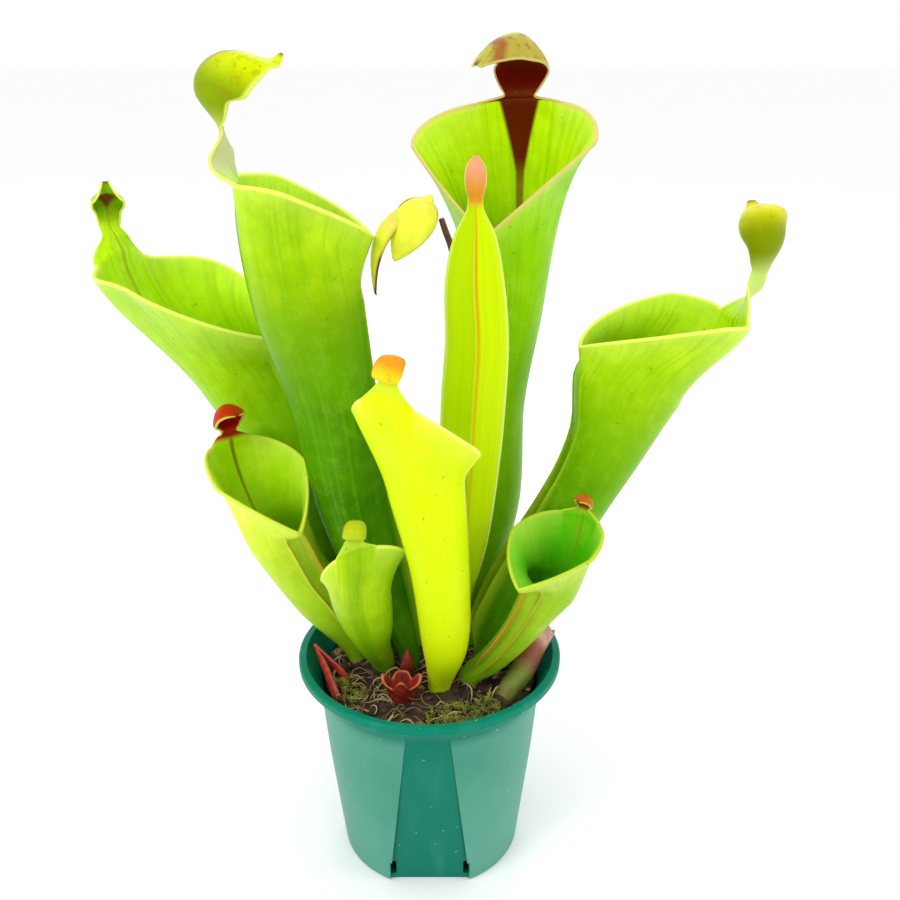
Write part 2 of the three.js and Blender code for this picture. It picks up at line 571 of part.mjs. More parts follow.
function tepalSolid({ tip, bulge, halfWidth, cup }) {
  const base = fromArray(BUD_BASE);
  const end = fromArray(tip);
  const swell = fromArray(bulge);
  const middle = base.clone().add(end).multiplyScalar(0.5).addScaledVector(swell, 2);
  const spine = new THREE.QuadraticBezierCurve3(base, middle, end);
  const outward = swell.clone().normalize();
  const across = end.clone().sub(base).cross(outward).normalize();
  const surface = new Surface();
  const steps = 7;
  const columns = 4;
  const face = (offset) => {
    const rows = [];
    for (let j = 0; j <= steps; j += 1) {
      const t = j / steps;
      const half = Math.max(halfWidth * Math.sin(Math.PI * t ** 0.8) ** 0.7, 0.9 - 0.4 * t);
      const row = [];
      for (let i = 0; i <= columns; i += 1) {
        const v = (2 * i) / columns - 1;
        row.push(along(spine.getPoint(t), [across, half * Math.sin((Math.PI / 2) * v)],
          [outward, offset - cup * (half / halfWidth) * (1 - Math.cos((Math.PI / 2) * v))]));
      }
      rows.push(surface.addRow(row));
    }
    return rows;
  };
  const outer = face(TEPAL_WALL / 2);
  const inner = face(-TEPAL_WALL / 2);
  for (let j = 0; j < steps; j += 1) {
    surface.bridge(outer[j], outer[j + 1], false);
    surface.bridge(inner[j], inner[j + 1], false, true);
    surface.quad(outer[j][columns], inner[j][columns], inner[j + 1][columns], outer[j + 1][columns]);
    surface.quad(inner[j][0], outer[j][0], outer[j + 1][0], inner[j + 1][0]);
  }
  surface.bridge(outer[steps], inner[steps], false);
  surface.bridge(inner[0], outer[0], false);
  return surface.toSolid();
}

function budSolid() {
  const [x, y, z] = BUD_BASE;
  const receptacle = [[x + 0.9, y + 0.2, z + 0.2, 0.9, 0.9], [x, y, z, 1.9, 1.9],
    [x - 2.5, y - 0.4, z - 3.2, 2, 2], [x - 4, y - 0.6, z - 5.5, 0.8, 0.8]];
  const core = solidOfRings(loftRings(receptacle, TOWARD_VIEWER, 10, 6));
  return largestShell(TEPALS.reduce((sum, tepal) => sum.add(tepalSolid(tepal)), core));
}

// A short cut-off leaf base with an open top and ragged corners.
function cupSolid({ at, bottom, top, footRadius, mouthRadius }, grow = 0) {
  const sides = 12;
  const surface = new Surface();
  const ringAt = (radius, height, ragged) => {
    const ring = [];
    for (let i = 0; i < sides; i += 1) {
      const angle = (2 * Math.PI * i) / sides;
      const reach = radius * (1 + 0.16 * Math.cos(4 * angle));
      const x = at[0] + reach * Math.cos(angle);
      const y = at[1] + 0.8 * reach * Math.sin(angle);
      ring.push(vec(x, y, height + (ragged ? 1.6 * Math.cos(4 * angle) + 0.8 * Math.sin(3 * angle) : 0)));
    }
    return surface.addRow(ring);
  };
  const wall = LEAF_WALL;
  const middle = (bottom + top) / 2 + 1;
  const rows = [ringAt(footRadius + grow, bottom, false), ringAt(footRadius + 1 + grow, middle, false),
    ringAt(mouthRadius + grow, top, true)];
  const rim = grow ? [] : [ringAt(mouthRadius - wall, top - 0.3, true),
    ringAt(footRadius + 1 - wall, middle + 0.8, false)];
  const all = [...rows, ...rim];
  surface.fan(all[0], false);
  all.slice(1).forEach((row, j) => surface.bridge(all[j], row, true));
  surface.fan(all[all.length - 1], true);
  return surface.toSolid();
}

// The old leaf at the right: a stub whose withered mouth gapes and is pinched flat.
function oldPitcherSolid() {
  const facing = OLD_PITCHER_FACING;
  const rows = [...OLD_PITCHER.spine, ...OLD_PITCHER.mouth];
  const outer = loftRings(rows, facing, 10, 9);
  const hollow = rows.slice(2).map((row) => [...row.slice(0, 3), row[3] - LEAF_WALL, row[4] - LEAF_WALL]);
  const last = hollow[hollow.length - 1];
  const beyond = [last[0] + 2.5, last[1] + 3, last[2] + 3, last[3] + 1, last[4]];
  return solidOfRings(outer).subtract(solidOfRings(loftRings([...hollow, beyond], facing, 10, 6)));
}

const strapsSolid = () => STRAPS.map((rows) => loftSolid(rows, 6, STRAP_STEPS))
  .reduce((sum, strap) => sum.add(strap));

// ---------------------------------------------------------------- pot and soil

const POT_OUTSIDE = [[BASE_RADIUS - 0.6, 0], [BASE_RADIUS, 0.8], [37.8, 24], [40, 44], [41.8, 65],
  [43.2, 77], [45, 77.5], [46.6, RIM_TOP - RIM_FACE - 0.4], [RIM_RADIUS - 0.5, RIM_TOP - RIM_FACE],
  [RIM_RADIUS, RIM_TOP - RIM_FACE + 0.6], [RIM_RADIUS, RIM_TOP - 0.6], [RIM_RADIUS - 0.6, RIM_TOP]];
const POT_INSIDE = [[BASE_RADIUS - POT_WALL, POT_FLOOR], [37.8 - POT_WALL, 24], [40 - POT_WALL, 44],
  [41.8 - POT_WALL, 65], [43.2 - POT_WALL, 74], [45 - POT_WALL, 78], [RIM_INNER_RADIUS, 84.8],
  [RIM_INNER_RADIUS + 0.6, RIM_TOP + 1]];

const circle = (sides, radius, height) => Array.from({ length: sides }, (_, i) => {
  const angle = (2 * Math.PI * i) / sides;
  return vec(radius * Math.cos(angle), radius * Math.sin(angle), height);
});

const turnedSolid = (profile) => solidOfRings(profile.map(([r, z]) => circle(POT_SIDES, r, z)));

// A solid with four lower and four upper corners, each set in order round it.
const hexahedron = (corners) => {
  const surface = new Surface();
  const lower = surface.addRow(corners.slice(0, 4));
  const upper = surface.addRow(corners.slice(4));
  surface.faces.push([lower[0], lower[2], lower[1]], [lower[0], lower[3], lower[2]]);
  surface.bridge(lower, upper, true);
  surface.quad(upper[0], upper[1], upper[2], upper[3]);
  return surface.toSolid();
};

// A point on one side of the pot, from the middle of that side's panel.
function onPanel(index, across, outward, height) {
  const turn = (2 * Math.PI * index) / PANEL_COUNT;
  return vec(across, -outward, height).applyAxisAngle(vec(0, 0, 1), turn);
}

// The wedge that one sunk panel takes out of the pot, grown by a wall thickness.
function panelWedge(index, grow) {
  const place = (across, outward, height) => onPanel(index, across, outward, height);
  const low = -2;
  const outside = RIM_RADIUS + 10;
  const topRadius = 43.3 - grow;
  const baseRadius = BASE_RADIUS - PANEL_BASE_DEPTH - grow;
  const topHalf = PANEL_TOP_HALF_WIDTH + grow;
  const baseHalf = PANEL_BASE_HALF_WIDTH + grow;
  const high = PANEL_TOP + grow;
  return hexahedron([
    place(-baseHalf, baseRadius, low), place(baseHalf, baseRadius, low),
    place(baseHalf, outside, low), place(-baseHalf, outside, low),
    place(-topHalf, topRadius, high), place(topHalf, topRadius, high),
    place(topHalf, outside, high), place(-topHalf, outside, high),
  ]);
}

// A drainage slit through the wall at one lower corner of a panel.
function drainSlit(index, sideSign) {
  const outer = sideSign * (PANEL_BASE_HALF_WIDTH - SLIT_INSET);
  const inner = outer - sideSign * SLIT_WIDTH;
  const depths = [BASE_RADIUS - SLIT_REACH, BASE_RADIUS + 2];
  const corners = [SLIT_BOTTOM, SLIT_TOP].flatMap((height) => [
    onPanel(index, inner, depths[0], height), onPanel(index, outer, depths[0], height),
    onPanel(index, outer, depths[1], height), onPanel(index, inner, depths[1], height),
  ]);
  return hexahedron(corners);
}

function potSolid() {
  let outside = turnedSolid(POT_OUTSIDE);
  let inside = turnedSolid(POT_INSIDE);
  for (let i = 0; i < PANEL_COUNT; i += 1) {
    outside = outside.subtract(panelWedge(i, 0));
    inside = inside.subtract(panelWedge(i, POT_WALL));
  }
  let pot = outside.subtract(inside);
  for (let i = 0; i < PANEL_COUNT; i += 1) {
    pot = pot.subtract(drainSlit(i, -1)).subtract(drainSlit(i, 1));
  }
  return pot;
}

// Height of the peat above its mean level: low swells over the surface.
function soilBump(x, y) {
  const broad = Math.sin(0.31 * x + 1.2) * Math.cos(0.27 * y);
  const fine = 0.5 * Math.sin(0.7 * x + 0.5 * y);
  return SOIL_BUMP * (broad + fine);
}

function insideRadius(z) {
  const above = POT_INSIDE.findIndex(([, height]) => height > z);
  const [r0, z0] = POT_INSIDE[above - 1];
  const [r1, z1] = POT_INSIDE[above];
  return r0 + ((r1 - r0) * (z - z0)) / (z1 - z0);
}

function soilBlock() {
  const shrink = Math.cos(Math.PI / SOIL_SIDES);
  const edge = insideRadius(SOIL_EDGE_TOP);
  const sides = POT_INSIDE.filter(([, z]) => z < SOIL_EDGE_TOP - 1).map(([r, z], j) => (
    circle(SOIL_SIDES, (r - GAP) * shrink, j === 0 ? z + GAP : z)));
  const rim = circle(SOIL_SIDES, (edge - GAP) * shrink, SOIL_EDGE_TOP);
  const top = [0.84, 0.66, 0.48, 0.3, 0.12].map((share) => (
    circle(SOIL_SIDES, edge * share, SOIL_TOP).map((point) => (
      vec(point.x, point.y, point.z + soilBump(point.x, point.y))))));
  let block = solidOfRings([...sides, rim, ...top]);
  for (let i = 0; i < PANEL_COUNT; i += 1) block = block.subtract(panelWedge(i, POT_WALL + GAP));
  return block;
}

// The part of a loft below HOLE_TOP, with clearance all round and at its ends, to cut its hole.
function holePlug(rows, facing, steps, grow = HOLE_GROW) {
  const rings = loftRings(rows, facing, HOLE_SIDES, steps, grow);
  const clear = rings.findIndex((ring) => ring.every((point) => point.z > HOLE_TOP));
  const low = clear < 0 ? rings : rings.slice(0, clear + 1);
  const beyond = (end, next) => end.map((point, i) => (
    along(point, [point.clone().sub(next[i]).normalize(), GAP])));
  const last = low.length - 1;
  return solidOfRings([beyond(low[0], low[1]), ...low, beyond(low[last], low[last - 1])]);
}

function soilSolid() {
  const plugs = [
    ...Object.values(PITCHERS).map((pitcher) => (
      holePlug(pitcher.spine, facingOf(pitcher), pitcher.detail.tube, LEAF_WALL / 2 + HOLE_GROW))),
    holePlug(UNOPENED_PITCHER, TOWARD_VIEWER, UNOPENED_STEPS),
    holePlug(SCAPE, TOWARD_VIEWER, SCAPE_STEPS),
    holePlug(YOUNG_PITCHER, TOWARD_VIEWER, YOUNG_STEPS),
    holePlug(RHIZOME, TOWARD_VIEWER, RHIZOME_STEPS),
    ...STRAPS.map((rows) => holePlug(rows, TOWARD_VIEWER, STRAP_STEPS)),
    cupSolid({ ...OLD_CUP, bottom: OLD_CUP.bottom - GAP }, GAP),
    holePlug(OLD_PITCHER.spine, OLD_PITCHER_FACING, OLD_PITCHER.spine.length * 2),
  ];
  return plugs.reduce((soil, plug) => soil.subtract(plug), soilBlock());
}

// ---------------------------------------------------------------- the assembly

const plant = new THREE.Group();

function addPiece(name, solid, color, roughness) {
  const material = new THREE.MeshStandardMaterial({ color, roughness, metalness: 0 });
  const mesh = new THREE.Mesh(geometryOf(solid), material);
  mesh.name = name;
  plant.add(mesh);
}

const LEAF_COLOURS = { pitcher_front: COLOURS.lemonLeaf, pitcher_lower_right: COLOURS.darkLeaf };

addPiece('pot', potSolid(), COLOURS.pot, 0.45);
addPiece('soil', soilSolid(), COLOURS.soil, 0.95);
addPiece('rhizome', loftSolid(RHIZOME, 10, RHIZOME_STEPS), COLOURS.rhizome, 0.9);
Object.entries(PITCHERS).forEach(([name, pitcher]) => {
  addPiece(name, pitcherSolid(pitcher), LEAF_COLOURS[name] ?? COLOURS.leaf, 0.4);
});
addPiece('pitcher_unopened', loftSolid(UNOPENED_PITCHER, 12, UNOPENED_STEPS), COLOURS.lemonLeaf, 0.4);
addPiece('young_pitcher', loftSolid(YOUNG_PITCHER, 8, YOUNG_STEPS), COLOURS.redLeaf, 0.5);
addPiece('old_pitcher_cup', cupSolid(OLD_CUP), COLOURS.redLeaf, 0.5);
addPiece('old_pitcher_right', oldPitcherSolid(), COLOURS.oldLeaf, 0.6);
addPiece('old_leaf_straps', strapsSolid(), COLOURS.redLeaf, 0.5);
addPiece('flower_scape', loftSolid(SCAPE, 8, SCAPE_STEPS), COLOURS.scape, 0.5);
addPiece('flower_bud', budSolid(), COLOURS.bud, 0.45);

export default plant;
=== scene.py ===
# A sun pitcher plant in a green plastic nursery pot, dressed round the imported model.
# Driving sizes are in millimetres, as in the part's source; meshes are made in metres.
import math
import random

import bmesh
import bpy
import numpy as np
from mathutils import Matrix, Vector, noise


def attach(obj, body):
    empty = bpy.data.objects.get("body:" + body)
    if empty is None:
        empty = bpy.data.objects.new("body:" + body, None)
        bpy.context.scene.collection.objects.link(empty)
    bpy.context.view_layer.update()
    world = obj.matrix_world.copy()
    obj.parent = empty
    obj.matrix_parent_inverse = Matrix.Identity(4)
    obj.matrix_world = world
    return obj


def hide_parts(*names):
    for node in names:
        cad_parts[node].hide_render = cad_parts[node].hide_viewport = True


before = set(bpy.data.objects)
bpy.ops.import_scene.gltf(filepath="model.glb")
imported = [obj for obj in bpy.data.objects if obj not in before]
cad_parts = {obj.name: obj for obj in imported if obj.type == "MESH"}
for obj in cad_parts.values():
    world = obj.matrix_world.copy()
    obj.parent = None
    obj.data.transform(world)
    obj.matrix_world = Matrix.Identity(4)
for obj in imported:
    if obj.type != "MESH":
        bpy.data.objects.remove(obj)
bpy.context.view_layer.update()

MM = 0.001
BODY = "root"
UP = np.array([0.0, 0.0, 1.0])
TOWARD_VIEWER = np.array([0.0, -1.0, 0.0])

# ---------------------------------------------------------------- camera and light

CAMERA_AT = (7.8, -327.5, 303)
CAMERA_PITCH = 22.4  # degrees below the horizon
CAMERA_LENS = 40
CAMERA_SENSOR = 36
CAMERA_NEAR = 0.01  # metres
LAMPS_AIM = (0, 0, 0.14)  # metres
# Each lamp's name, place and width in metres, and power in watts.
LAMPS = [("key", (-0.7, -0.6, 1.0), 0.6, 5), ("fill", (0.9, -0.2, 0.6), 0.6, 2),
         ("back", (0.1, 0.9, 0.9), 0.8, 2)]


def placed(name, data):
    """A new object for a mesh, lamp or camera, in the scene."""
    made = bpy.data.objects.new(name, data)
    bpy.context.scene.collection.objects.link(made)
    return made


def make_camera():
    data = bpy.data.cameras.new("camera")
    data.lens = CAMERA_LENS
    data.sensor_width = CAMERA_SENSOR
    data.clip_start = CAMERA_NEAR
    camera = placed("camera", data)
    camera.location = Vector(CAMERA_AT) * MM
    camera.rotation_euler = (math.radians(90 - CAMERA_PITCH), 0, 0)
    bpy.context.scene.camera = camera


def make_area(name, at, size, power):
    data = bpy.data.lights.new(name, "AREA")
    data.shape = "DISK"
    data.size = size
    data.energy = power
    lamp = placed(name, data)
    lamp.location = at
    lamp.rotation_euler = (Vector(LAMPS_AIM) - Vector(at)).to_track_quat("-Z", "Y").to_euler()


def make_world():
    world = bpy.data.worlds.new("studio")
    world.use_nodes = True
    background = world.node_tree.nodes["Background"]
    background.inputs["Color"].default_value = (1, 1, 1, 1)
    background.inputs["Strength"].default_value = 1
    bpy.context.scene.world = world


# ---------------------------------------------------------------- material helpers

def tint(red, green, blue):
    """A colour given as screen values from 0 to 255, as the shader wants it."""
    return tuple(v / 12.92 if v <= 0.04045 else ((v + 0.055) / 1.055) ** 2.4
                 for v in (red / 255, green / 255, blue / 255))


class Shader:
    """One procedural material: its nodes are made by short calls that return sockets."""

    def __init__(self, name):
        self.material = bpy.data.materials.new(name)
        self.material.use_nodes = True
        self.tree = self.material.node_tree
        self.principled = self.tree.nodes["Principled BSDF"]

    def node(self, kind, inputs=None, **settings):
        made = self.tree.nodes.new(kind)
        for key, value in settings.items():
            setattr(made, key, value)
        for key, value in (inputs or {}).items():
            self.feed(made.inputs[key], value)
        return made

    def feed(self, socket, value):
        if isinstance(value, bpy.types.NodeSocket):
            self.tree.links.new(value, socket)
        elif isinstance(value, tuple) and len(value) == 3 and socket.type == "RGBA":
            socket.default_value = (*value, 1)
        else:
            socket.default_value = value

    def attribute(self, name):
        return self.node("ShaderNodeAttribute", attribute_name=name).outputs["Fac"]

    def position(self):
        return self.node("ShaderNodeTexCoord").outputs["Object"]

    def noise(self, scale, detail=4, vector=None, roughness=0.55):
        place = vector if vector is not None else self.position()
        made = self.node("ShaderNodeTexNoise", {"Vector": place, "Scale": scale, "Detail": detail,
                                                "Roughness": roughness})
        return made.outputs["Fac"]

    def streaks(self, turn, along, count):
        """Noise drawn out along a leaf, with about count streaks from its back to its front."""
        place = self.node("ShaderNodeCombineXYZ", {"X": self.times(turn, count),
                                                   "Y": self.times(along, 3.0)})
        return self.noise(1.0, 3, place.outputs[0])

    def maths(self, operation, first, second=0.0):
        made = self.node("ShaderNodeMath", operation=operation)
        self.feed(made.inputs[0], first)
        self.feed(made.inputs[1], second)
        return made.outputs[0]

    def times(self, first, second):
        return self.maths("MULTIPLY", first, second)

    def away(self, value, middle):
        """How far a value is from a middle one."""
        return self.maths("ABSOLUTE", self.maths("SUBTRACT", value, middle))

    def span(self, value, low, high, to_low=0.0, to_high=1.0):
        made = self.node("ShaderNodeMapRange", {"Value": value, "From Min": low, "From Max": high,
                                                "To Min": to_low, "To Max": to_high})
        made.interpolation_type = "SMOOTHSTEP"
        return made.outputs["Result"]

    def mix(self, share, first, second):
        made = self.node("ShaderNodeMix", data_type="RGBA")
        self.feed(made.inputs["Factor"], share)
        self.feed(made.inputs[6], first)
        self.feed(made.inputs[7], second)
        return made.outputs[2]

    def bump(self, height, distance, strength=1.0, normal=None):
        made = self.node("ShaderNodeBump", {"Height": height, "Distance": distance,
                                            "Strength": strength})
        if normal is not None:
            self.feed(made.inputs["Normal"], normal)
        return made.outputs["Normal"]

    def finish(self, colour, roughness, normal=None, **settings):
        self.feed(self.principled.inputs["Base Color"], colour)
        self.feed(self.principled.inputs["Roughness"], roughness)
        if normal is not None:
            self.feed(self.principled.inputs["Normal"], normal)
        for key, value in settings.items():
            self.feed(self.principled.inputs[key.replace("_", " ")], value)
        return self.material


# ---------------------------------------------------------------- mesh helpers

class Shape:
    """Points in millimetres with faces and per-point values, made into one object."""

    def __init__(self):
        self.points = []
        self.faces = []
        self.values = {}

    def add(self, points, **values):
        start = len(self.points)
        points = np.asarray(points, float).reshape(-1, 3)
        self.points.extend(points.tolist())
        for key in set(self.values) | set(values):
            kept = self.values.setdefault(key, [0.0] * start)
            given = np.broadcast_to(np.asarray(values.get(key, 0.0), float), (len(points),))
            kept.extend(given.tolist())
        return list(range(start, start + len(points)))

    def bridge(self, lower, upper, wraps, flip=False):
        count = len(lower) if wraps else len(lower) - 1
        for i in range(count):
            k = (i + 1) % len(lower)
            face = (lower[i], lower[k], upper[k], upper[i])
            self.faces.append(face[::-1] if flip else face)

    def stack(self, rings, flip=False):
        """Joins each closed ring to the next."""
        for lower, upper in zip(rings, rings[1:]):
            self.bridge(lower, upper, True, flip)

    def cap(self, row, flip=False):
        middle = np.mean([self.points[i] for i in row], axis=0)
        hub = self.add([middle], **{key: kept[row[0]] for key, kept in self.values.items()})[0]
        for i, index in enumerate(row):
            face = (hub, row[(i + 1) % len(row)], index)
            self.faces.append(face[::-1] if flip else face)

    def solid(self, rings):
        """A closed body of rings with a cap at each end."""
        self.cap(rings[0])
        self.stack(rings)
        self.cap(rings[-1], True)

    def vessel(self, outer, inner):
        """The outer and inner wall of an open vessel, each with its floor."""
        self.cap(outer[0])
        self.stack(outer)
        self.cap(inner[0], True)
        self.stack(inner, True)

    def mesh(self, name):
        mesh = bpy.data.meshes.new(name)
        mesh.from_pydata((np.array(self.points) * MM).tolist(), [], self.faces)
        return mesh

    def make(self, name, material, slot, smooth=True):
        mesh = self.mesh(name)
        for key, kept in self.values.items():
            layer = mesh.attributes.new(key, "FLOAT", "POINT")
            layer.data.foreach_set("value", kept)
        mesh.materials.append(material)
        mesh.polygons.foreach_set("use_smooth", [smooth] * len(mesh.polygons))
        mesh.validate()
        outward(mesh)
        made = placed(name, mesh)
        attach(made, BODY)
        return made


def outward(mesh):
    """Turns the faces of a closed mesh so that they point out, and drops points with no face."""
    work = bmesh.new()
    work.from_mesh(mesh)
    loose = [point for point in work.verts if not point.link_faces]
    bmesh.ops.delete(work, geom=loose, context="VERTS")
    bmesh.ops.recalc_face_normals(work, faces=work.faces)
    work.to_mesh(mesh)
    work.free()


def unit(vector):
    vector = np.asarray(vector, float)
    return vector / np.maximum(np.linalg.norm(vector, axis=-1, keepdims=True), 1e-9)


def smooth_step(value):
    value = np.clip(value, 0, 1)
    return value * value * (3 - 2 * value)


def circle(sides):
    return np.linspace(0, 2 * np.pi, sides, endpoint=False)


def through(rows, share):
    """Centripetal Catmull-Rom curve through rows of numbers, share from 0 to 1 by row."""
    rows = np.asarray(rows, float)
    last = len(rows) - 1
    at = min(max(share, 0), 1) * last
    i = min(int(at), last - 1)
    f = at - i
    p1, p2 = rows[i], rows[i + 1]
    p0 = rows[i - 1] if i > 0 else 2 * p1 - p2
    p3 = rows[i + 2] if i + 2 <= last else 2 * p2 - p1
    d1, d2, d3 = (max(np.linalg.norm(b - a), 1e-6) ** 0.5 for a, b in ((p0, p1), (p1, p2), (p2, p3)))
    m1 = d2 * ((p1 - p0) / d1 - (p2 - p0) / (d1 + d2) + (p2 - p1) / d2)
    m2 = d2 * ((p2 - p1) / d2 - (p3 - p1) / (d2 + d3) + (p3 - p2) / d3)
    a = m1 + m2 - 2 * (p2 - p1)
    b = 3 * (p2 - p1) - 2 * m1 - m2
    return ((a * f + b) * f + m1) * f + p1


def value_at(values, share):
    return through([[value] for value in values], share)[0]


def spine_frame(rows, facing, share):
    """A spine's row at a share of its length, with its tangent, forward and side ways."""
    row = through(rows, share)
    tangent = unit(through(rows, share + 0.01)[:3] - through(rows, share - 0.01)[:3])
    forward = unit(facing - tangent * np.dot(tangent, facing))
    return row, tangent, forward, np.cross(tangent, forward)


def loft_rings(rows, facing, angles, steps):
    """Rings along [x, y, z, half width, half depth] rows, angles counted from the back."""
    angles = angles[:, None]
    rings = []
    for share in np.linspace(0, 1, steps + 1):
        row, _, forward, side = spine_frame(rows, facing, share)
        rings.append(row[:3] + side * row[3] * np.sin(angles) - forward * row[4] * np.cos(angles))
    return rings


# ---------------------------------------------------------------- the pitchers

NECK_ANGLE = 30
NECK_COLUMNS = 10
WING_ANGLE = 15
WING_SPREAD = 1.7  # degrees, half the width of a wing's foot
WING_LOW, WING_FADE = 80, 14
LEAF_WALL = 1.0
LIP_WALL = 1.3
TIP_WALL = 0.7
LIP_FADE, EDGE_FADE = 0.6, 5  # how far the lip's and the edge's marks reach down
THINNEST_HALF = 0.5
TUBE_ROWS, BELL_ROWS, HOOD_ROWS = 44, 24, 44
CAD_BELL_STEPS = 5
FLOOR_SHARE = 0.3
NECK_FADE = 7  # degrees over which the lip's marks end beside the neck
NECK_BLEND = 0.8  # share of the neck that blends into the lip
SIDE_FLARE, FRONT_FLARE = 40, 12  # degrees that the lip leans out
BELL_RISE = 0.6  # share of the bell's axis that is square to the mouth
BELL_FOOT, BELL_HEAD = 0.35, 0.3  # reach of the bell's curve along the tube and at the lip
LOBE_AT, LOBE_WIDTH = math.radians(40), 0.35  # the lobes beside the neck
LIP_ROUND, HOOD_ROUND = 0.45, 0.4  # how far the edges bulge, as shares of the wall
HOOD_EDGE_POWER = 14  # how narrow the pale edge of a hood is

# Hoods: ridge line, half widths and cup depths, as shares of the hood's size. A hood's twist is in
# degrees, evenly from the lip to the tip.
HELMET = {
    "ridge": [(-0.27, 0.45), (-0.2, 0.72), (0.05, 0.9), (0.31, 0.92), (0.69, 0.83), (0.84, 0.9)],
    "half_width": [0.125, 0.3, 0.35, 0.33, 0.2, 0.06],
    "cup": [0, 0.45, 0.66, 0.6, 0.42, 0.14, 0.03],
    "droop": 28,
}
SLIM_HELMET = dict(HELMET, half_width=[0.125, 0.27, 0.33, 0.3, 0.17, 0.05],
                   cup=[0, 0.3, 0.4, 0.36, 0.26, 0.14, 0.03])
VISOR = {
    "ridge": [(-0.2, 0.45), (-0.15, 0.75), (0.08, 0.95), (0.42, 0.88), (0.68, 0.66), (0.8, 0.5)],
    "half_width": [0.25, 0.47, 0.43, 0.36, 0.3, 0.2, 0.04],
    "cup": [0, 0.15, 0.3, 0.45, 0.4, 0.25, 0.04],
    "droop": 60,
}
SPOON = {
    "ridge": [(-0.29, 0.45), (-0.2, 0.72), (0.05, 0.91), (0.31, 0.95), (0.45, 1.05), (0.5, 1.25)],
    "half_width": [0.24, 0.33, 0.4, 0.37, 0.22, 0.08],
    "cup": [0, 0.35, 0.55, 0.5, 0.25, 0.04],
    "droop": 20,
}
KNOB = {
    "ridge": [(-0.36, 0.3), (-0.3, 0.68), (0, 0.9), (0.4, 0.86), (0.68, 0.7)],
    "half_width": [0.32, 0.5, 0.52, 0.45, 0.28, 0.08],
    "cup": [0.1, 0.4, 0.6, 0.55, 0.3, 0.03],
    "droop": 35,
    "twist": [0, 0],
}

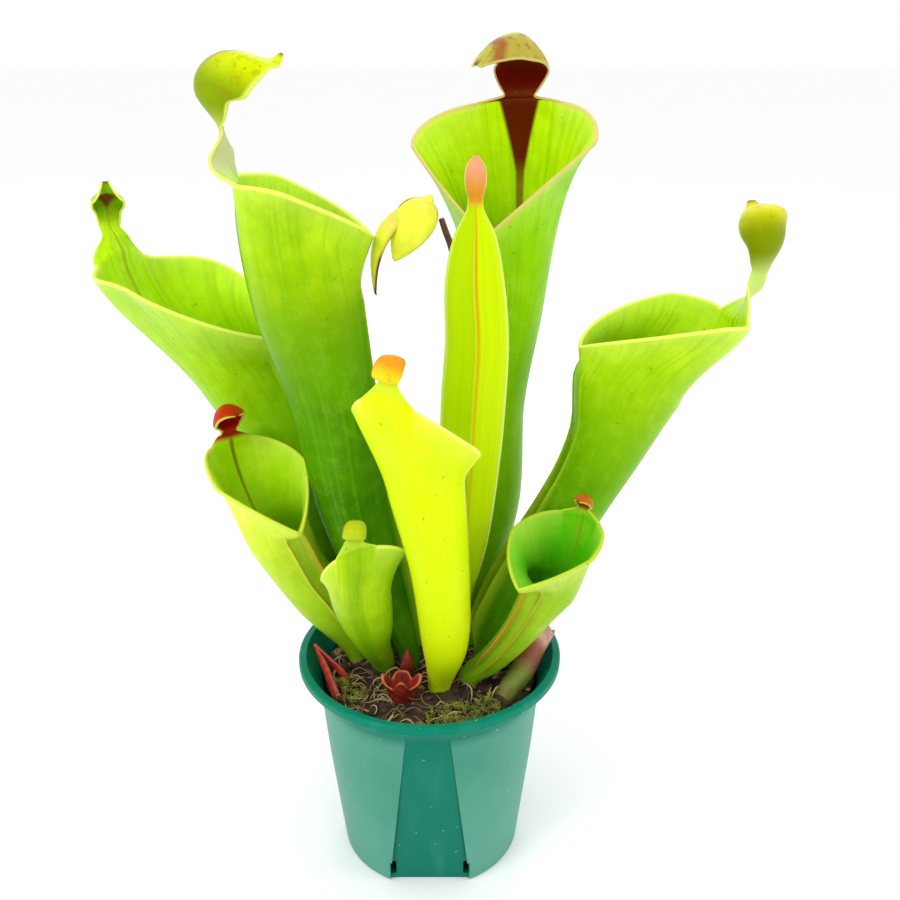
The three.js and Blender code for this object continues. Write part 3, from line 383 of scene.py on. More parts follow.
# Each spine station is (x, y, z, half width, half depth). The neck's points are (forward, up)
# from neck_at, the back of the mouth. notch_at is the mouth's front. steps are the rows of the
# part's own tube, by which the wing heights are counted.
PITCHERS = {
    "pitcher_left_tall": {
        "steps": 7,
        "spine": [(-7, 3, 66, 3, 3), (-8, 3, 80, 3.5, 3.5), (-19, 10, 106, 9.5, 9),
                  (-29, 11, 143, 12.5, 12.5), (-34, 9, 183, 13.5, 14.5), (-40, 5, 218, 15.5, 18)],
        "neck_at": (-60, 0, 261), "notch_at": (-18, 7, 242),
        "mouth": dict(half_width=28, ear_at=0.32, ear_rise=4, vee=0.4, sweep=4, roll=-2),
        "neck": dict(path=[(-2.5, 5), (-4, 10), (-4, 16)], half_width=[9, 5.5, 4.6, 3],
                     cup=[2, -0.5, 0.5, 0.5]),
        "hood": dict(HELMET, size=24, twist=[0, -42, 0, 0, 0, 0, 0]),
        "wing": [2, 4, 3, 1.2, 0.6],
    },
    "pitcher_left_far": {
        "steps": 7,
        "spine": [(-25, 14, 66, 3, 3), (-26, 15, 79, 3, 3), (-35, 24, 99, 7, 7),
                  (-47, 34, 130, 11, 11), (-58, 42, 154, 13, 14), (-72, 46, 178, 15.5, 16.5)],
        "neck_at": (-118, 56, 228), "notch_at": (-52, 34, 199),
        "mouth": dict(half_width=29, ear_at=0.42, ear_rise=1, vee=0.3, sweep=7, sag=4),
        "neck": dict(path=[(-1, 2.5), (-2, 5), (-4, 8)], half_width=[7, 4.8, 3.6], cup=[2, -0.5, 0.5]),
        "hood": dict(SPOON, size=14.5, twist=[0, -50, -50, -50]),
        "wing": [2, 4, 3, 2, 1],
    },
    "pitcher_back": {
        "steps": 7,
        "spine": [(14, 16, 66, 3, 3), (14, 17, 80, 3, 3), (17, 26, 100, 7.5, 7.5),
                  (23, 36, 131, 12, 12), (23, 42, 172, 13.5, 14), (28, 46, 207, 14.5, 15.5)],
        "neck_at": (34, 68, 281.5), "notch_at": (20, 20, 239),
        "mouth": dict(half_width=34, ear_at=0.45, ear_rise=8, vee=0.85, sweep=0, roll=3),
        "neck": dict(path=[(0, 0.6), (0.4, 1.2), (0.8, 2)], half_width=[8, 6.4, 5.6], cup=[2, 1, 0.5]),
        "hood": dict(VISOR, size=22, twist=[0, 0, 0, 0, 0, -10, -25, -40, -50, -50]),
        "wing": [2, 4, 3, 2, 1],
    },
    "pitcher_front": {
        "steps": 7,
        "spine": [(3, -12, 66, 3.5, 3.5), (4, -13, 79, 4, 4), (6, -17, 99, 8, 8),
                  (4, -21, 134, 10, 10), (0, -22, 162, 12.5, 12.5)],
        "neck_at": (-11.5, -39, 203), "notch_at": (11, -5, 173),
        "mouth": dict(half_width=22, ear_at=0.5, ear_rise=-6, vee=0.4, sweep=0, drop=0.8),
        "neck": dict(path=[(0, 1), (0, 2), (0, 3)], half_width=[6, 4, 3], cup=[1, 0.5, 1]),
        "hood": dict(KNOB, size=9),
        "wing": [1, 3, 2.5, 1.5, 1],
    },
    "pitcher_lower_left": {
        "steps": 6,
        "spine": [(-28, 6, 66, 3, 3), (-29, 7, 79, 3.5, 3.5), (-41, 7, 103, 9.5, 9.5),
                  (-50, 6, 118, 10, 10), (-55.5, 5, 131, 11.5, 11.5)],
        "neck_at": (-74, 18.5, 164.5), "notch_at": (-45, -12.5, 141),
        "mouth": dict(half_width=18.7, ear_at=0.45, ear_rise=3, vee=0.75, sweep=2),
        "neck": dict(path=[(0, 1), (-1, 2), (-1, 4)], half_width=[6, 4, 3], cup=[1, -1, 1]),
        "hood": dict(KNOB, size=10.5),
        "wing": [2, 4, 4, 3, 1.5],
    },
    "pitcher_small_front": {
        "steps": 6,
        "spine": [(-17, 1, 66, 3, 3), (-18, -0.5, 79, 4, 3.6), (-21, -6.5, 92, 6, 5),
                  (-22.5, -11.5, 104, 9, 7), (-24, -14.5, 115, 10.5, 8.5)],
        "neck_at": (-24.5, -28, 142.5), "notch_at": (-21.5, -8, 124),
        "mouth": dict(half_width=15.2, ear_at=0.5, ear_rise=-2, vee=0.4, sweep=0, roll=-24),
        "neck": dict(path=[(0, 1.5), (0, 3), (0, 4)], half_width=[4.5, 3.2, 2.4], cup=[1, 0.8, 1]),
        "hood": dict(KNOB, size=7),
        "wing": [1, 2, 2, 1, 1],
    },
    "pitcher_right_tall": {
        "steps": 7,
        "spine": [(19, 3, 66, 2.5, 2.5), (20, 3, 79, 2.5, 2.5), (35, 9, 101, 9.5, 9.5),
                  (54, 16, 136, 10.5, 10.5), (67, 20, 163, 13.5, 14), (73, 22, 183, 16, 20)],
        "neck_at": (111, 26, 208), "notch_at": (54, 16, 201),
        "mouth": dict(half_width=23, ear_at=0.3, ear_rise=6.5, vee=0.3, sweep=3, roll=-2),
        "neck": dict(path=[(-3, 6), (-6, 12), (-8, 18)], half_width=[8, 4.8, 3], cup=[2, -1, 0.5]),
        "hood": dict(SLIM_HELMET, size=24, twist=[0, -30, -65, -85, -90, -95, -110, -112, -105, -100]),
        "wing": [2, 7, 6, 2, 0.6, 0.6],
    },
    "pitcher_lower_right": {
        "steps": 6,
        "spine": [(14, -10, 66, 3, 3), (15, -10, 79, 3.5, 3.5), (23, -12, 88, 4.5, 4.5),
                  (31, -14, 99, 5.5, 5.5), (38, -15, 111, 7, 7), (43, -15, 121, 9.5, 9.5)],
        "neck_at": (56, -3, 144), "notch_at": (31, -32, 130),
        "mouth": dict(half_width=17, ear_at=0.5, ear_rise=3, vee=0.6, sweep=0),
        "neck": dict(path=[(0, 1), (0, 2), (0, 2.5)], half_width=[4, 3, 2], cup=[1, 0.5, 1]),
        "hood": dict(KNOB, size=6),
        "wing": [2, 4, 4, 3, 1.5],
    },
}


def column_angles():
    """Angles round a tube, closer together at the two wings, in radians."""
    neck = np.linspace(-NECK_ANGLE, NECK_ANGLE, 2 * NECK_COLUMNS + 1)
    plain = np.linspace(NECK_ANGLE, 180 - WING_ANGLE - 6, 28)[1:]
    offsets = np.array([-4, -2.6, -1.6, -0.8, 0, 0.8, 1.6, 2.6, 4, 7, 11])
    side = np.concatenate([plain, 180 - WING_ANGLE + offsets])
    return np.radians(np.concatenate([neck, side, [180], 360 - side[::-1]]))


ANGLES = column_angles()
TURNS = np.where(ANGLES > np.pi, ANGLES - 2 * np.pi, ANGLES)
NECK_LAST = 2 * NECK_COLUMNS


def facing_of(pitcher):
    chord = np.subtract(pitcher["notch_at"], pitcher["neck_at"])
    return unit([chord[0], chord[1], 0])


def turned(vector, axis, angle):
    """vector turned about a unit axis by the right-hand rule."""
    return (vector * math.cos(angle) + np.cross(axis, vector) * math.sin(angle)
            + axis * np.dot(axis, vector) * (1 - math.cos(angle)))


def mouth_lip(pitcher):
    """The mouth's edge, from the neck past the ears to the front notch."""
    mouth = dict(dict(sag=0, roll=0, drop=2), **pitcher["mouth"])
    neck_at = np.array(pitcher["neck_at"], float)
    chord = np.subtract(pitcher["notch_at"], neck_at)
    forward = unit(chord)
    facing = facing_of(pitcher)
    side = turned(unit(np.cross(UP, facing)), forward, math.radians(mouth["roll"]))
    rise = np.cross(forward, side)
    turn = np.abs(TURNS)
    back = np.clip(turn / (np.pi / 2), 0, 1)
    front = np.clip(turn / (np.pi / 2) - 1, 0, 1)
    quarter = np.pi / 2 * front
    in_back = turn < np.pi / 2
    vee, ear_at = mouth["vee"], mouth["ear_at"]
    across = np.where(in_back, np.sin(turn), (1 - vee) * np.cos(quarter) + vee * (1 - front))
    advance = (1 - vee) * np.sin(quarter) + vee * front
    share = np.where(in_back, ear_at * (1 - np.cos(turn)), ear_at + (1 - ear_at) * advance)
    lift_back = mouth["ear_rise"] * np.sin(np.pi / 2 * back) ** mouth["drop"]
    lift = np.where(in_back, lift_back, mouth["ear_rise"] * (1 - front ** 2))
    lobe = np.exp(-((turn - LOBE_AT) / LOBE_WIDTH) ** 2)
    return (neck_at + share[:, None] * chord
            + (mouth["half_width"] * across * np.sign(TURNS))[:, None] * side
            + lift[:, None] * rise
            - (mouth["sweep"] * lobe)[:, None] * facing
            - (mouth["sag"] * lobe)[:, None] * UP)


def bell_rows(pitcher, last_row, lip):
    """The bell that opens from the last section of the tube to the mouth's edge."""
    facing = facing_of(pitcher)
    _, tangent, forward, side = spine_frame(pitcher["spine"], facing, 1)
    chord = unit(np.subtract(pitcher["notch_at"], pitcher["neck_at"]))
    rise = unit(np.cross(chord, np.cross(UP, facing)))
    axis = unit(rise * BELL_RISE + tangent * (1 - BELL_RISE))
    turn = np.abs(TURNS) / (np.pi / 2)
    front_lean = SIDE_FLARE - (SIDE_FLARE - FRONT_FLARE) * (turn - 1)
    flare = np.radians(np.where(turn < 1, SIDE_FLARE * turn, front_lean))[:, None]
    radial = np.sin(ANGLES)[:, None] * side - np.cos(ANGLES)[:, None] * forward
    out = np.cos(flare) * axis + np.sin(flare) * radial
    reach = np.linalg.norm(lip - last_row, axis=1, keepdims=True)
    p1 = last_row + BELL_FOOT * reach * tangent
    p2 = lip - BELL_HEAD * reach * out
    rows = []
    for t in np.linspace(0, 1, BELL_ROWS + 1)[1:]:
        s = 1 - t
        rows.append(s ** 3 * last_row + 3 * s * s * t * p1 + 3 * s * t * t * p2 + t ** 3 * lip)
    return rows


def hood_rows(pitcher, lip):
    """Neck and hood, from the back of the mouth's edge."""
    neck, hood = pitcher["neck"], pitcher["hood"]
    facing = facing_of(pitcher)
    level = np.cross(UP, facing)
    size = hood["size"]
    pinch = neck["path"][-1]
    ridge = [(0, 0), *neck["path"], *[(pinch[0] + f * size, pinch[1] + z * size) for f, z in hood["ridge"]]]
    pinch_share = len(neck["path"]) / (len(ridge) - 1)
    phi = np.linspace(-np.pi / 2, np.pi / 2, NECK_LAST + 1)
    rows = []
    shares = np.linspace(0, 1, HOOD_ROWS + 1)
    for t in shares:
        forward_by, up_by = through(ridge, t)
        in_neck = t < pinch_share
        neck_t = min(t / pinch_share, 1)
        hood_t = max((t - pinch_share) / (1 - pinch_share), 0)
        part, scale, at = (neck, 1, neck_t) if in_neck else (hood, size, hood_t)
        half = max(scale * value_at(part["half_width"], at), THINNEST_HALF)
        cup = scale * value_at(part["cup"], at)
        turn = math.radians(value_at(hood["twist"], t))
        turned_facing = turned(facing, UP, turn)
        turned_side = turned(level, UP, turn)
        droop = math.radians(hood["droop"]) * smooth_step(3 * hood_t)
        section = turned_facing * math.cos(droop) - UP * math.sin(droop)
        reach = forward_by if in_neck else pinch[0]
        base = (np.array(pitcher["neck_at"]) + UP * up_by + facing * reach
                + turned_facing * (forward_by - reach))
        rows.append(base + half * np.sin(phi)[:, None] * turned_side
                    + cup * (1 - np.cos(phi))[:, None] * section)
    offsets = lip[:NECK_LAST + 1] - rows[0]
    keep = 1 - smooth_step(shares / (NECK_BLEND * pinch_share))
    return [row + offsets * k for row, k in zip(rows, keep)][1:]


def grid_normals(rows, wraps):
    """Unit vectors out of a sheet of points, rows by columns."""
    grid = np.array(rows)
    if wraps:
        across = np.roll(grid, -1, axis=1) - np.roll(grid, 1, axis=1)
    else:
        across = np.gradient(grid, axis=1)
    return unit(np.cross(np.gradient(grid, axis=0), across))


def wing_height(pitcher, j):
    """Height of the two wings at a row of the body, by the part's own tube steps."""
    steps = pitcher["steps"]
    row = j / TUBE_ROWS * steps
    if j > TUBE_ROWS:
        row = steps + (j - TUBE_ROWS) / BELL_ROWS * CAD_BELL_STEPS
    height = value_at(pitcher["wing"], min(row / (steps + 1), 1))
    return height * float(1 - smooth_step(row - steps - 1))


def add_body(shape, pitcher, body, out, lip):
    """Tube and bell, outside and inside. Returns the last row of points of each."""
    last = len(body) - 1
    turn = np.abs(np.degrees(TURNS))
    ridge = np.exp(-((turn - (180 - WING_ANGLE)) / WING_SPREAD) ** 2)
    off_neck = smooth_step((turn - NECK_ANGLE + NECK_FADE) / NECK_FADE)
    outer, inner = [], []
    for j, row in enumerate(body):
        below_lip = np.linalg.norm(row - lip, axis=1)
        wing = wing_height(pitcher, j) * ridge * smooth_step((row[:, 2] - WING_LOW) / WING_FADE)
        near_lip = np.exp(-below_lip / LIP_FADE)
        wall = LEAF_WALL + (LIP_WALL - LEAF_WALL) * near_lip
        values = dict(along=j / last, turn=TURNS / np.pi, lip=near_lip * off_neck, hood=0.0,
                      edge=np.exp(-below_lip / EDGE_FADE) * off_neck)
        outer.append(shape.add(row + out[j] * (wall / 2 + wing)[:, None], inner=0.0,
                               wing=ridge * smooth_step(wing / 2), **values))
        if j >= FLOOR_SHARE * TUBE_ROWS:
            inner.append(shape.add(row - out[j] * (wall / 2)[:, None], inner=1.0, wing=0.0, **values))
    shape.vessel(outer, inner)
    return outer[-1], inner[-1]


def add_rim(shape, outer, inner, lip, way):
    """Rounds the mouth's edge and returns its two ends, at the sides of the neck."""
    rim = shape.add(lip + way * LIP_WALL * LIP_ROUND, along=1.0, turn=TURNS / np.pi, lip=1.0, inner=0.5)
    front = [*range(NECK_LAST, len(ANGLES)), 0]
    rim_front = [rim[i] for i in front]
    shape.bridge([outer[i] for i in front], rim_front, False)
    shape.bridge(rim_front, [inner[i] for i in front], False)
    return rim[0], rim[NECK_LAST]


def add_hood(shape, hood, out, outer, inner, rim_ends):
    """Neck and hood, from the body's last rows and the ends of the mouth's rim."""
    outs, ins = [outer[:NECK_LAST + 1]], [inner[:NECK_LAST + 1]]
    lefts, rights = [rim_ends[0]], [rim_ends[1]]
    edge = np.abs(np.linspace(-1, 1, NECK_LAST + 1)) ** HOOD_EDGE_POWER
    for j, row in enumerate(hood):
        share = (j + 1) / len(hood)
        wall = LEAF_WALL + (TIP_WALL - LEAF_WALL) * share
        values = dict(along=1 + share, turn=TURNS[:NECK_LAST + 1] / np.pi, lip=edge, hood=share)
        outs.append(shape.add(row + out[j] * wall / 2, inner=0.0, **values))
        ins.append(shape.add(row - out[j] * wall / 2, inner=1.0, **values))
        for store, k, n in ((lefts, 0, 1), (rights, NECK_LAST, NECK_LAST - 1)):
            way = unit(row[k] - row[n])
            store.append(shape.add([row[k] + way * wall * HOOD_ROUND], along=1 + share, lip=1.0,
                                   hood=share, inner=0.5)[0])
    for j in range(len(hood)):
        shape.bridge(outs[j], outs[j + 1], False)
        shape.bridge(ins[j], ins[j + 1], False, True)
        shape.faces.append((outs[j][-1], rights[j], rights[j + 1], outs[j + 1][-1]))
        shape.faces.append((rights[j], ins[j][-1], ins[j + 1][-1], rights[j + 1]))
        shape.faces.append((outs[j][0], outs[j + 1][0], lefts[j + 1], lefts[j]))
        shape.faces.append((lefts[j], lefts[j + 1], ins[j + 1][0], ins[j][0]))
    shape.bridge(outs[-1], ins[-1], False)
    shape.faces.append((outs[-1][0], ins[-1][0], lefts[-1]))
    shape.faces.append((outs[-1][-1], rights[-1], ins[-1][-1]))


def make_pitcher(name, material, slot):
    pitcher = PITCHERS[name]
    tube = loft_rings(pitcher["spine"], facing_of(pitcher), ANGLES, TUBE_ROWS)
    lip = mouth_lip(pitcher)
    body = [*tube, *bell_rows(pitcher, tube[-1], lip)]
    hood = hood_rows(pitcher, lip)
    shared = 4  # rows of the body that the neck's normals are smoothed over
    neck_out = grid_normals([row[:NECK_LAST + 1] for row in body[-shared:]] + hood, False)
    body_out = grid_normals(body, True)
    body_out[-1, :NECK_LAST + 1] = neck_out[shared - 1]
    shape = Shape()
    outer, inner = add_body(shape, pitcher, body, body_out, lip)
    rim_ends = add_rim(shape, outer, inner, lip, unit(lip - body[-2]))
    add_hood(shape, hood, neck_out[shared:], outer, inner, rim_ends)
    made = shape.make(name + "_leaf", material, slot)
    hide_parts(name)


# ---------------------------------------------------------------- leaf materials

# How each leaf is coloured: a low and a high colour outside, a deep and an inside colour within, and the
# marks on it. The deep colour is painted shade in the tube, and the darker low colour is partly painted
# shade.
# Colours are screen values. low_to, vein_from, vein_full and vein_flare are places up the leaf, and
# hood_from and hood_full are places up the neck and hood.
GREEN = dict(low=(118, 172, 4), low_to=0.1, high=(158, 212, 4), shade=(112, 180, 2), deep_shade=(52, 128, 0),
             inside=(172, 226, 4), lip=(238, 248, 110), pale=(214, 240, 96), dark_mottle_and_back_shade=(70, 140, 2),
             back_shade_share=0.35, neck=(186, 214, 60), neck_share=0.5, vein=(150, 100, 20), vein_share=0.4,
             vein_width=0.014, vein_from=0.45, vein_full=0.9, vein_flare=0.9, vein_gain=0.0,
             hood=(172, 186, 10), hood_inside=(150, 130, 10), hood_from=0.3, hood_full=0.42,
             freckle=(150, 84, 20), freckle_share=0.4, crown_share=0.0, fold_share=0.0,
             heart_share=0.0, wing=(206, 222, 50), wing_share=0.5)
LOOKS = {
    # A dark low tube, partly painted shade, and a strong painted shade down its back.
    "pitcher_left_tall": dict(GREEN, low=(56, 120, 0), high=(192, 232, 0), low_to=0.46,
                              shade=(104, 176, 0), back_shade_share=0.9, hood_low=(124, 164, 0),
                              hood=(206, 226, 0), neck=(198, 204, 96), neck_share=0.85,
                              neck_inside=(206, 204, 160), freckle_share=0.35, crown_share=0.85,
                              freckle=(150, 120, 20)),
    "pitcher_left_far": dict(GREEN, low=(84, 146, 0), high=(172, 222, 2), inside=(190, 240, 2),
                             hood_inside=(126, 176, 6), heart_share=0.95, hood_from=0.36,
                             hood_full=0.5, hood=(160, 200, 4), neck_share=0.2, freckle_share=0.2),
    "pitcher_back": dict(GREEN, high=(156, 216, 0), inside=(204, 246, 2), vein=(94, 0, 0),
                         vein_low=(128, 110, 12), vein_width=0.03, vein_from=0.66, vein_full=0.7,
                         vein_flare=0.87, vein_gain=0.4, vein_share=1.0, hood=(184, 184, 70),
                         fold_share=0.8, hood_inside=(104, 8, 4), hood_from=0.0, hood_full=0.06,
                         lip=(222, 196, 120), freckle_share=0.7, freckle=(150, 90, 44)),
    "pitcher_front": dict(GREEN, low=(210, 230, 4), high=(226, 246, 6), shade=(200, 232, 4),
                          inside=(222, 244, 4), deep_shade=(150, 190, 2), vein=(226, 150, 24),
                          dark_mottle_and_back_shade=(200, 226, 10), hood=(230, 150, 26), pale=(240, 250, 90),
                          hood_inside=(222, 140, 20), freckle=(196, 96, 20), lip=(246, 250, 120),
                          wing=(236, 246, 90), hood_low=(240, 216, 30)),
    "pitcher_lower_left": dict(GREEN, high=(236, 250, 74), inside=(180, 230, 2), shade=(176, 218, 30),
                               deep_shade=(98, 166, 0), hood=(186, 30, 8), hood_inside=(170, 20, 6),
                               lip=(216, 226, 70), hood_low=(150, 24, 8), vein=(120, 96, 10),
                               vein_share=0.75, vein_width=0.02, hood_from=0.0, hood_full=0.2,
                               wing=(206, 150, 60), wing_share=0.8, freckle_share=0.2),
    "pitcher_small_front": dict(GREEN, hood=(176, 196, 30), hood_inside=(160, 170, 20),
                                vein=(204, 140, 30), vein_share=0.8, vein_width=0.018,
                                hood_low=(170, 204, 30), freckle=(190, 120, 30),
                                low=(130, 176, 6), high=(186, 218, 20)),
    # A dark low tube, partly painted shade.
    "pitcher_right_tall": dict(GREEN, high=(188, 230, 0), low=(74, 142, 0), low_to=0.3,
                               hood=(224, 222, 0), inside=(180, 230, 2), hood_inside=(170, 160, 6),
                               hood_low=(124, 142, 0), freckle=(130, 140, 0), neck=(204, 222, 130),
                               neck_share=0.7),
    "pitcher_lower_right": dict(GREEN, inside=(80, 204, 0), deep_shade=(14, 104, 0), lip=(190, 212, 60),
                                high=(184, 212, 50), low=(140, 180, 20), hood=(190, 96, 24),
                                hood_inside=(176, 90, 24), wing=(206, 140, 50), wing_share=0.9),
}
SLOTS = {"pitcher_front": "leaf_lemon", "pitcher_lower_right": "leaf_dark"}
CROWN_TINT, CROWN_FULL, CROWN_END = tint(150, 98, 60), 0.62, 0.86
FOLD_TINT, FOLD_AT = tint(150, 66, 40), 0.8
HEART_TINT, HEART_AT = tint(124, 40, 26), 0.62
TIP_TINT, TIP_FROM = tint(110, 60, 40), 0.94
SPECK_TINT = tint(90, 110, 10)
LEAF_GLOSS = (0.85, 1.0, 0.15)  # tint of the sheen


def flesh_colour(s, look, along, turn, streaks, blotch, within):
    """The leaf's green, outside and within, with its streaks and mottle; painted shade darkens the back of
    the outside, the inside deep in the tube, and partly the low tube.
    """
    # The outside darker low on the tube: partly its own green, partly painted shade.
    outer = s.mix(s.span(along, look["low_to"], 0.95), look["low"], look["high"])
    outer = s.mix(s.span(blotch, 0.35, 0.7, 0.0, 0.5), outer, look["shade"])
    # Painted shade: the inside darker deep in the tube.
    inner = s.mix(s.span(along, 0.5, 0.98), look["deep_shade"], look["inside"])
    inner = s.mix(s.span(blotch, 0.4, 0.7, 0.0, 0.35), inner, look["high"])
    colour = s.mix(within, outer, inner)
    colour = s.mix(s.span(streaks, 0.42, 0.68, 0.0, 0.35), colour, look["shade"])
    mottle = s.noise(170.0, 5, roughness=0.7)
    colour = s.mix(s.span(mottle, 0.42, 0.62, 0.0, 0.1), colour, look["dark_mottle_and_back_shade"])
    colour = s.mix(s.span(mottle, 0.5, 0.36, 0.0, 0.06), colour, look["pale"])
    # Painted shade: a dark strip down the back of the outside, where the tube turns away.
    dark_mottle_and_back_shade = s.times(s.span(s.away(turn, 0.0), 0.13, 0.03), s.maths("SUBTRACT", 1.0, within))
    colour = s.mix(s.times(dark_mottle_and_back_shade, look["back_shade_share"]), colour, look["dark_mottle_and_back_shade"])
    return s.mix(s.times(s.attribute("edge"), 0.5), colour, look["pale"])


def with_vein(s, look, colour, along, middle, within):
    """Adds the vein up the back of the inside, which may widen towards the neck."""
    flare = s.maths("MAXIMUM", s.maths("SUBTRACT", along, look["vein_flare"]), 0.0)
    spread = s.maths("SUBTRACT", middle, s.times(flare, look["vein_gain"]))
    width = look["vein_width"]
    vein = s.times(s.span(spread, width, width * 0.4), s.span(along, look["vein_from"], look["vein_full"]))
    mark = s.mix(s.span(along, 0.84, 0.9), look.get("vein_low", look["vein"]), look["vein"])
    return s.mix(s.times(s.times(vein, within), look["vein_share"]), colour, mark)


def hood_colour(s, look, hood, middle, within, blotch):
    """The hood's own colour, with its freckles, crown, fold and heart marks and dark tip."""
    cover = s.mix(s.span(hood, 0.5, 0.7), look.get("hood_low", look["hood"]), look["hood"])
    freckle = s.span(s.noise(330.0, 3), 0.5, 0.66, 0.0, look["freckle_share"])
    cover = s.mix(freckle, cover, look["freckle"])
    crown = s.times(s.span(middle, 0.05, 0.0), s.span(hood, 0.5, CROWN_FULL))
    crown = s.times(crown, s.span(hood, CROWN_END, CROWN_END - 0.1, 0.0, look["crown_share"]))
    cover = s.mix(crown, cover, CROWN_TINT)
    cover = s.mix(s.span(s.away(hood, FOLD_AT), 0.05, 0.01, 0.0, look["fold_share"]), cover, FOLD_TINT)
    cover = s.mix(within, cover, look["hood_inside"])
    off_heart = s.maths("ADD", middle, s.times(s.away(hood, HEART_AT), 0.4))
    heart = s.span(off_heart, 0.1, 0.05, 0.0, look["heart_share"])
    cover = s.mix(s.times(heart, within), cover, HEART_TINT)
    blots = s.span(blotch, 0.4, 0.6, 0.0, 0.5 * look["freckle_share"])
    cover = s.mix(s.times(blots, s.maths("SUBTRACT", 1.0, within)), cover, look["freckle"])
    return s.mix(s.span(hood, TIP_FROM, 1.0, 0.0, 0.8), cover, TIP_TINT)


def leaf_material(name, look):
    look = {key: tint(*value) if isinstance(value, tuple) else value for key, value in look.items()}
    s = Shader(name)
    along, turn, hood = s.attribute("along"), s.attribute("turn"), s.attribute("hood")
    within = s.span(s.attribute("inner"), 0.45, 0.95)
    middle = s.away(turn, 0.0)
    streaks, blotch = s.streaks(turn, along, 34.0), s.noise(38.0, 4)
    colour = flesh_colour(s, look, along, turn, streaks, blotch, within)
    colour = with_vein(s, look, colour, along, middle, within)
    neck = s.mix(within, look["neck"], look.get("neck_inside", look["neck"]))
    colour = s.mix(s.span(hood, 0.0, 0.12, 0.0, look["neck_share"]), colour, neck)
    cover = hood_colour(s, look, hood, middle, within, blotch)
    colour = s.mix(s.span(hood, look["hood_from"], look["hood_full"]), colour, cover)
    colour = s.mix(s.times(s.span(s.attribute("lip"), 0.4, 0.9), 0.8), colour, look["lip"])
    colour = s.mix(s.times(s.attribute("wing"), look["wing_share"]), colour, look["wing"])
    colour = s.mix(s.span(s.noise(420.0, 1), 0.75, 0.78, 0.0, 0.4), colour, SPECK_TINT)
    bump = s.bump(streaks, 0.0004, 0.3)
    bump = s.bump(s.noise(900.0, 3), 0.0001, 0.25, bump)
    return s.finish(colour, s.span(blotch, 0.3, 0.7, 0.34, 0.46), bump, Subsurface_Weight=0.1,
                    Subsurface_Scale=0.003, Specular_IOR_Level=0.22, Specular_Tint=LEAF_GLOSS)


# ---------------------------------------------------------------- closed leaf, young leaf, stems

UNOPENED = [(9, 6, 66, 2.8, 2.8), (9, 6, 79, 3, 3), (9.5, 8.5, 97, 5, 4.2), (13, 8, 128, 9, 6.5),
            (15, 7, 161, 11, 7), (16, 5, 185, 11.5, 7.5), (17, 4, 207, 11, 7), (16, 3, 228, 10, 6),
            (16, 2, 243, 7, 4.2), (16, 1, 252, 2.8, 2), (16, 1, 255.5, 2.5, 2), (16, 0, 260, 3.5, 3),
            (16, 0, 265, 3.2, 2.8), (16, 0, 268.5, 0.9, 0.9)]
YOUNG = [(-8.5, -7.5, 70, 1.6, 1.6), (-8.5, -7.5, 77, 1.8, 1.8), (-8.5, -8, 82, 2.6, 2),
         (-8.3, -8, 87, 1.8, 1.5), (-8, -8, 90, 0.5, 0.5)]
SCAPE = [(1, 4, 66, 1.4, 1.4), (1, 4, 90, 1.4, 1.4), (2.5, 14.5, 120, 1.3, 1.3), (8, 18, 150, 1.3, 1.3),
         (12, 17, 180, 1.3, 1.3), (11.5, 15, 215, 1.2, 1.2), (8.5, 14, 236, 1.2, 1.2),
         (6.2, 13.1, 242.8, 1.1, 1.1), (4.9, 12.7, 246.8, 1, 1)]
RHIZOME = [(-34, 9, 60, 1.5, 1.5), (-28, 8, 60.5, 4, 4.5), (-15, 4, 60.5, 4.5, 6.5),
           (0, 2, 60.5, 4.5, 8), (14, 2, 60.5, 4.5, 7), (22, 2, 60.5, 4, 4), (26, 2, 60, 1.2, 1.2)]
STRAPS = [
    [(-31, -9, 72, 1.6, 0.6), (-33, -8, 79, 1.6, 0.6), (-39, -4, 83, 1.5, 0.6), (-44.4, 0, 87, 0.7, 0.5)],
    [(-32.5, -20, 71, 1.7, 0.6), (-34.5, -19.5, 78, 1.7, 0.6), (-40, -8, 83.4, 1.6, 0.6),
     (-44.2, 0.5, 86, 0.7, 0.5)],
]


def add_loft(shape, rows, facing, sides, steps, shape_ring=None):
    """Adds a closed loft. shape_ring may move a ring: it gets the ring and its share."""
    turn = np.linspace(0, 1, sides, endpoint=False)
    turn = np.where(turn > 0.5, turn - 1, turn)
    kept = []
    for j, ring in enumerate(loft_rings(rows, facing, circle(sides), steps)):
        share = j / steps
        if shape_ring:
            ring = shape_ring(ring, share)
        kept.append(shape.add(ring, along=share, turn=2 * turn))
    shape.solid(kept)


def unopened_ring(ring, share):
    """A keel up the front of the closed leaf and a soft crease down each side of it."""
    centre = ring.mean(axis=0)
    angle = circle(len(ring))
    off = np.abs(np.degrees(np.abs(np.where(angle > np.pi, angle - 2 * np.pi, angle))) - 180)
    keel = 0.05 * np.exp(-(off / 9) ** 2) - 0.05 * np.exp(-((off - 26) / 14) ** 2)
    body = smooth_step(share / 0.2) * (1 - smooth_step((share - 0.55) / 0.15))
    return centre + (ring - centre) * (1 + keel * body)[:, None]


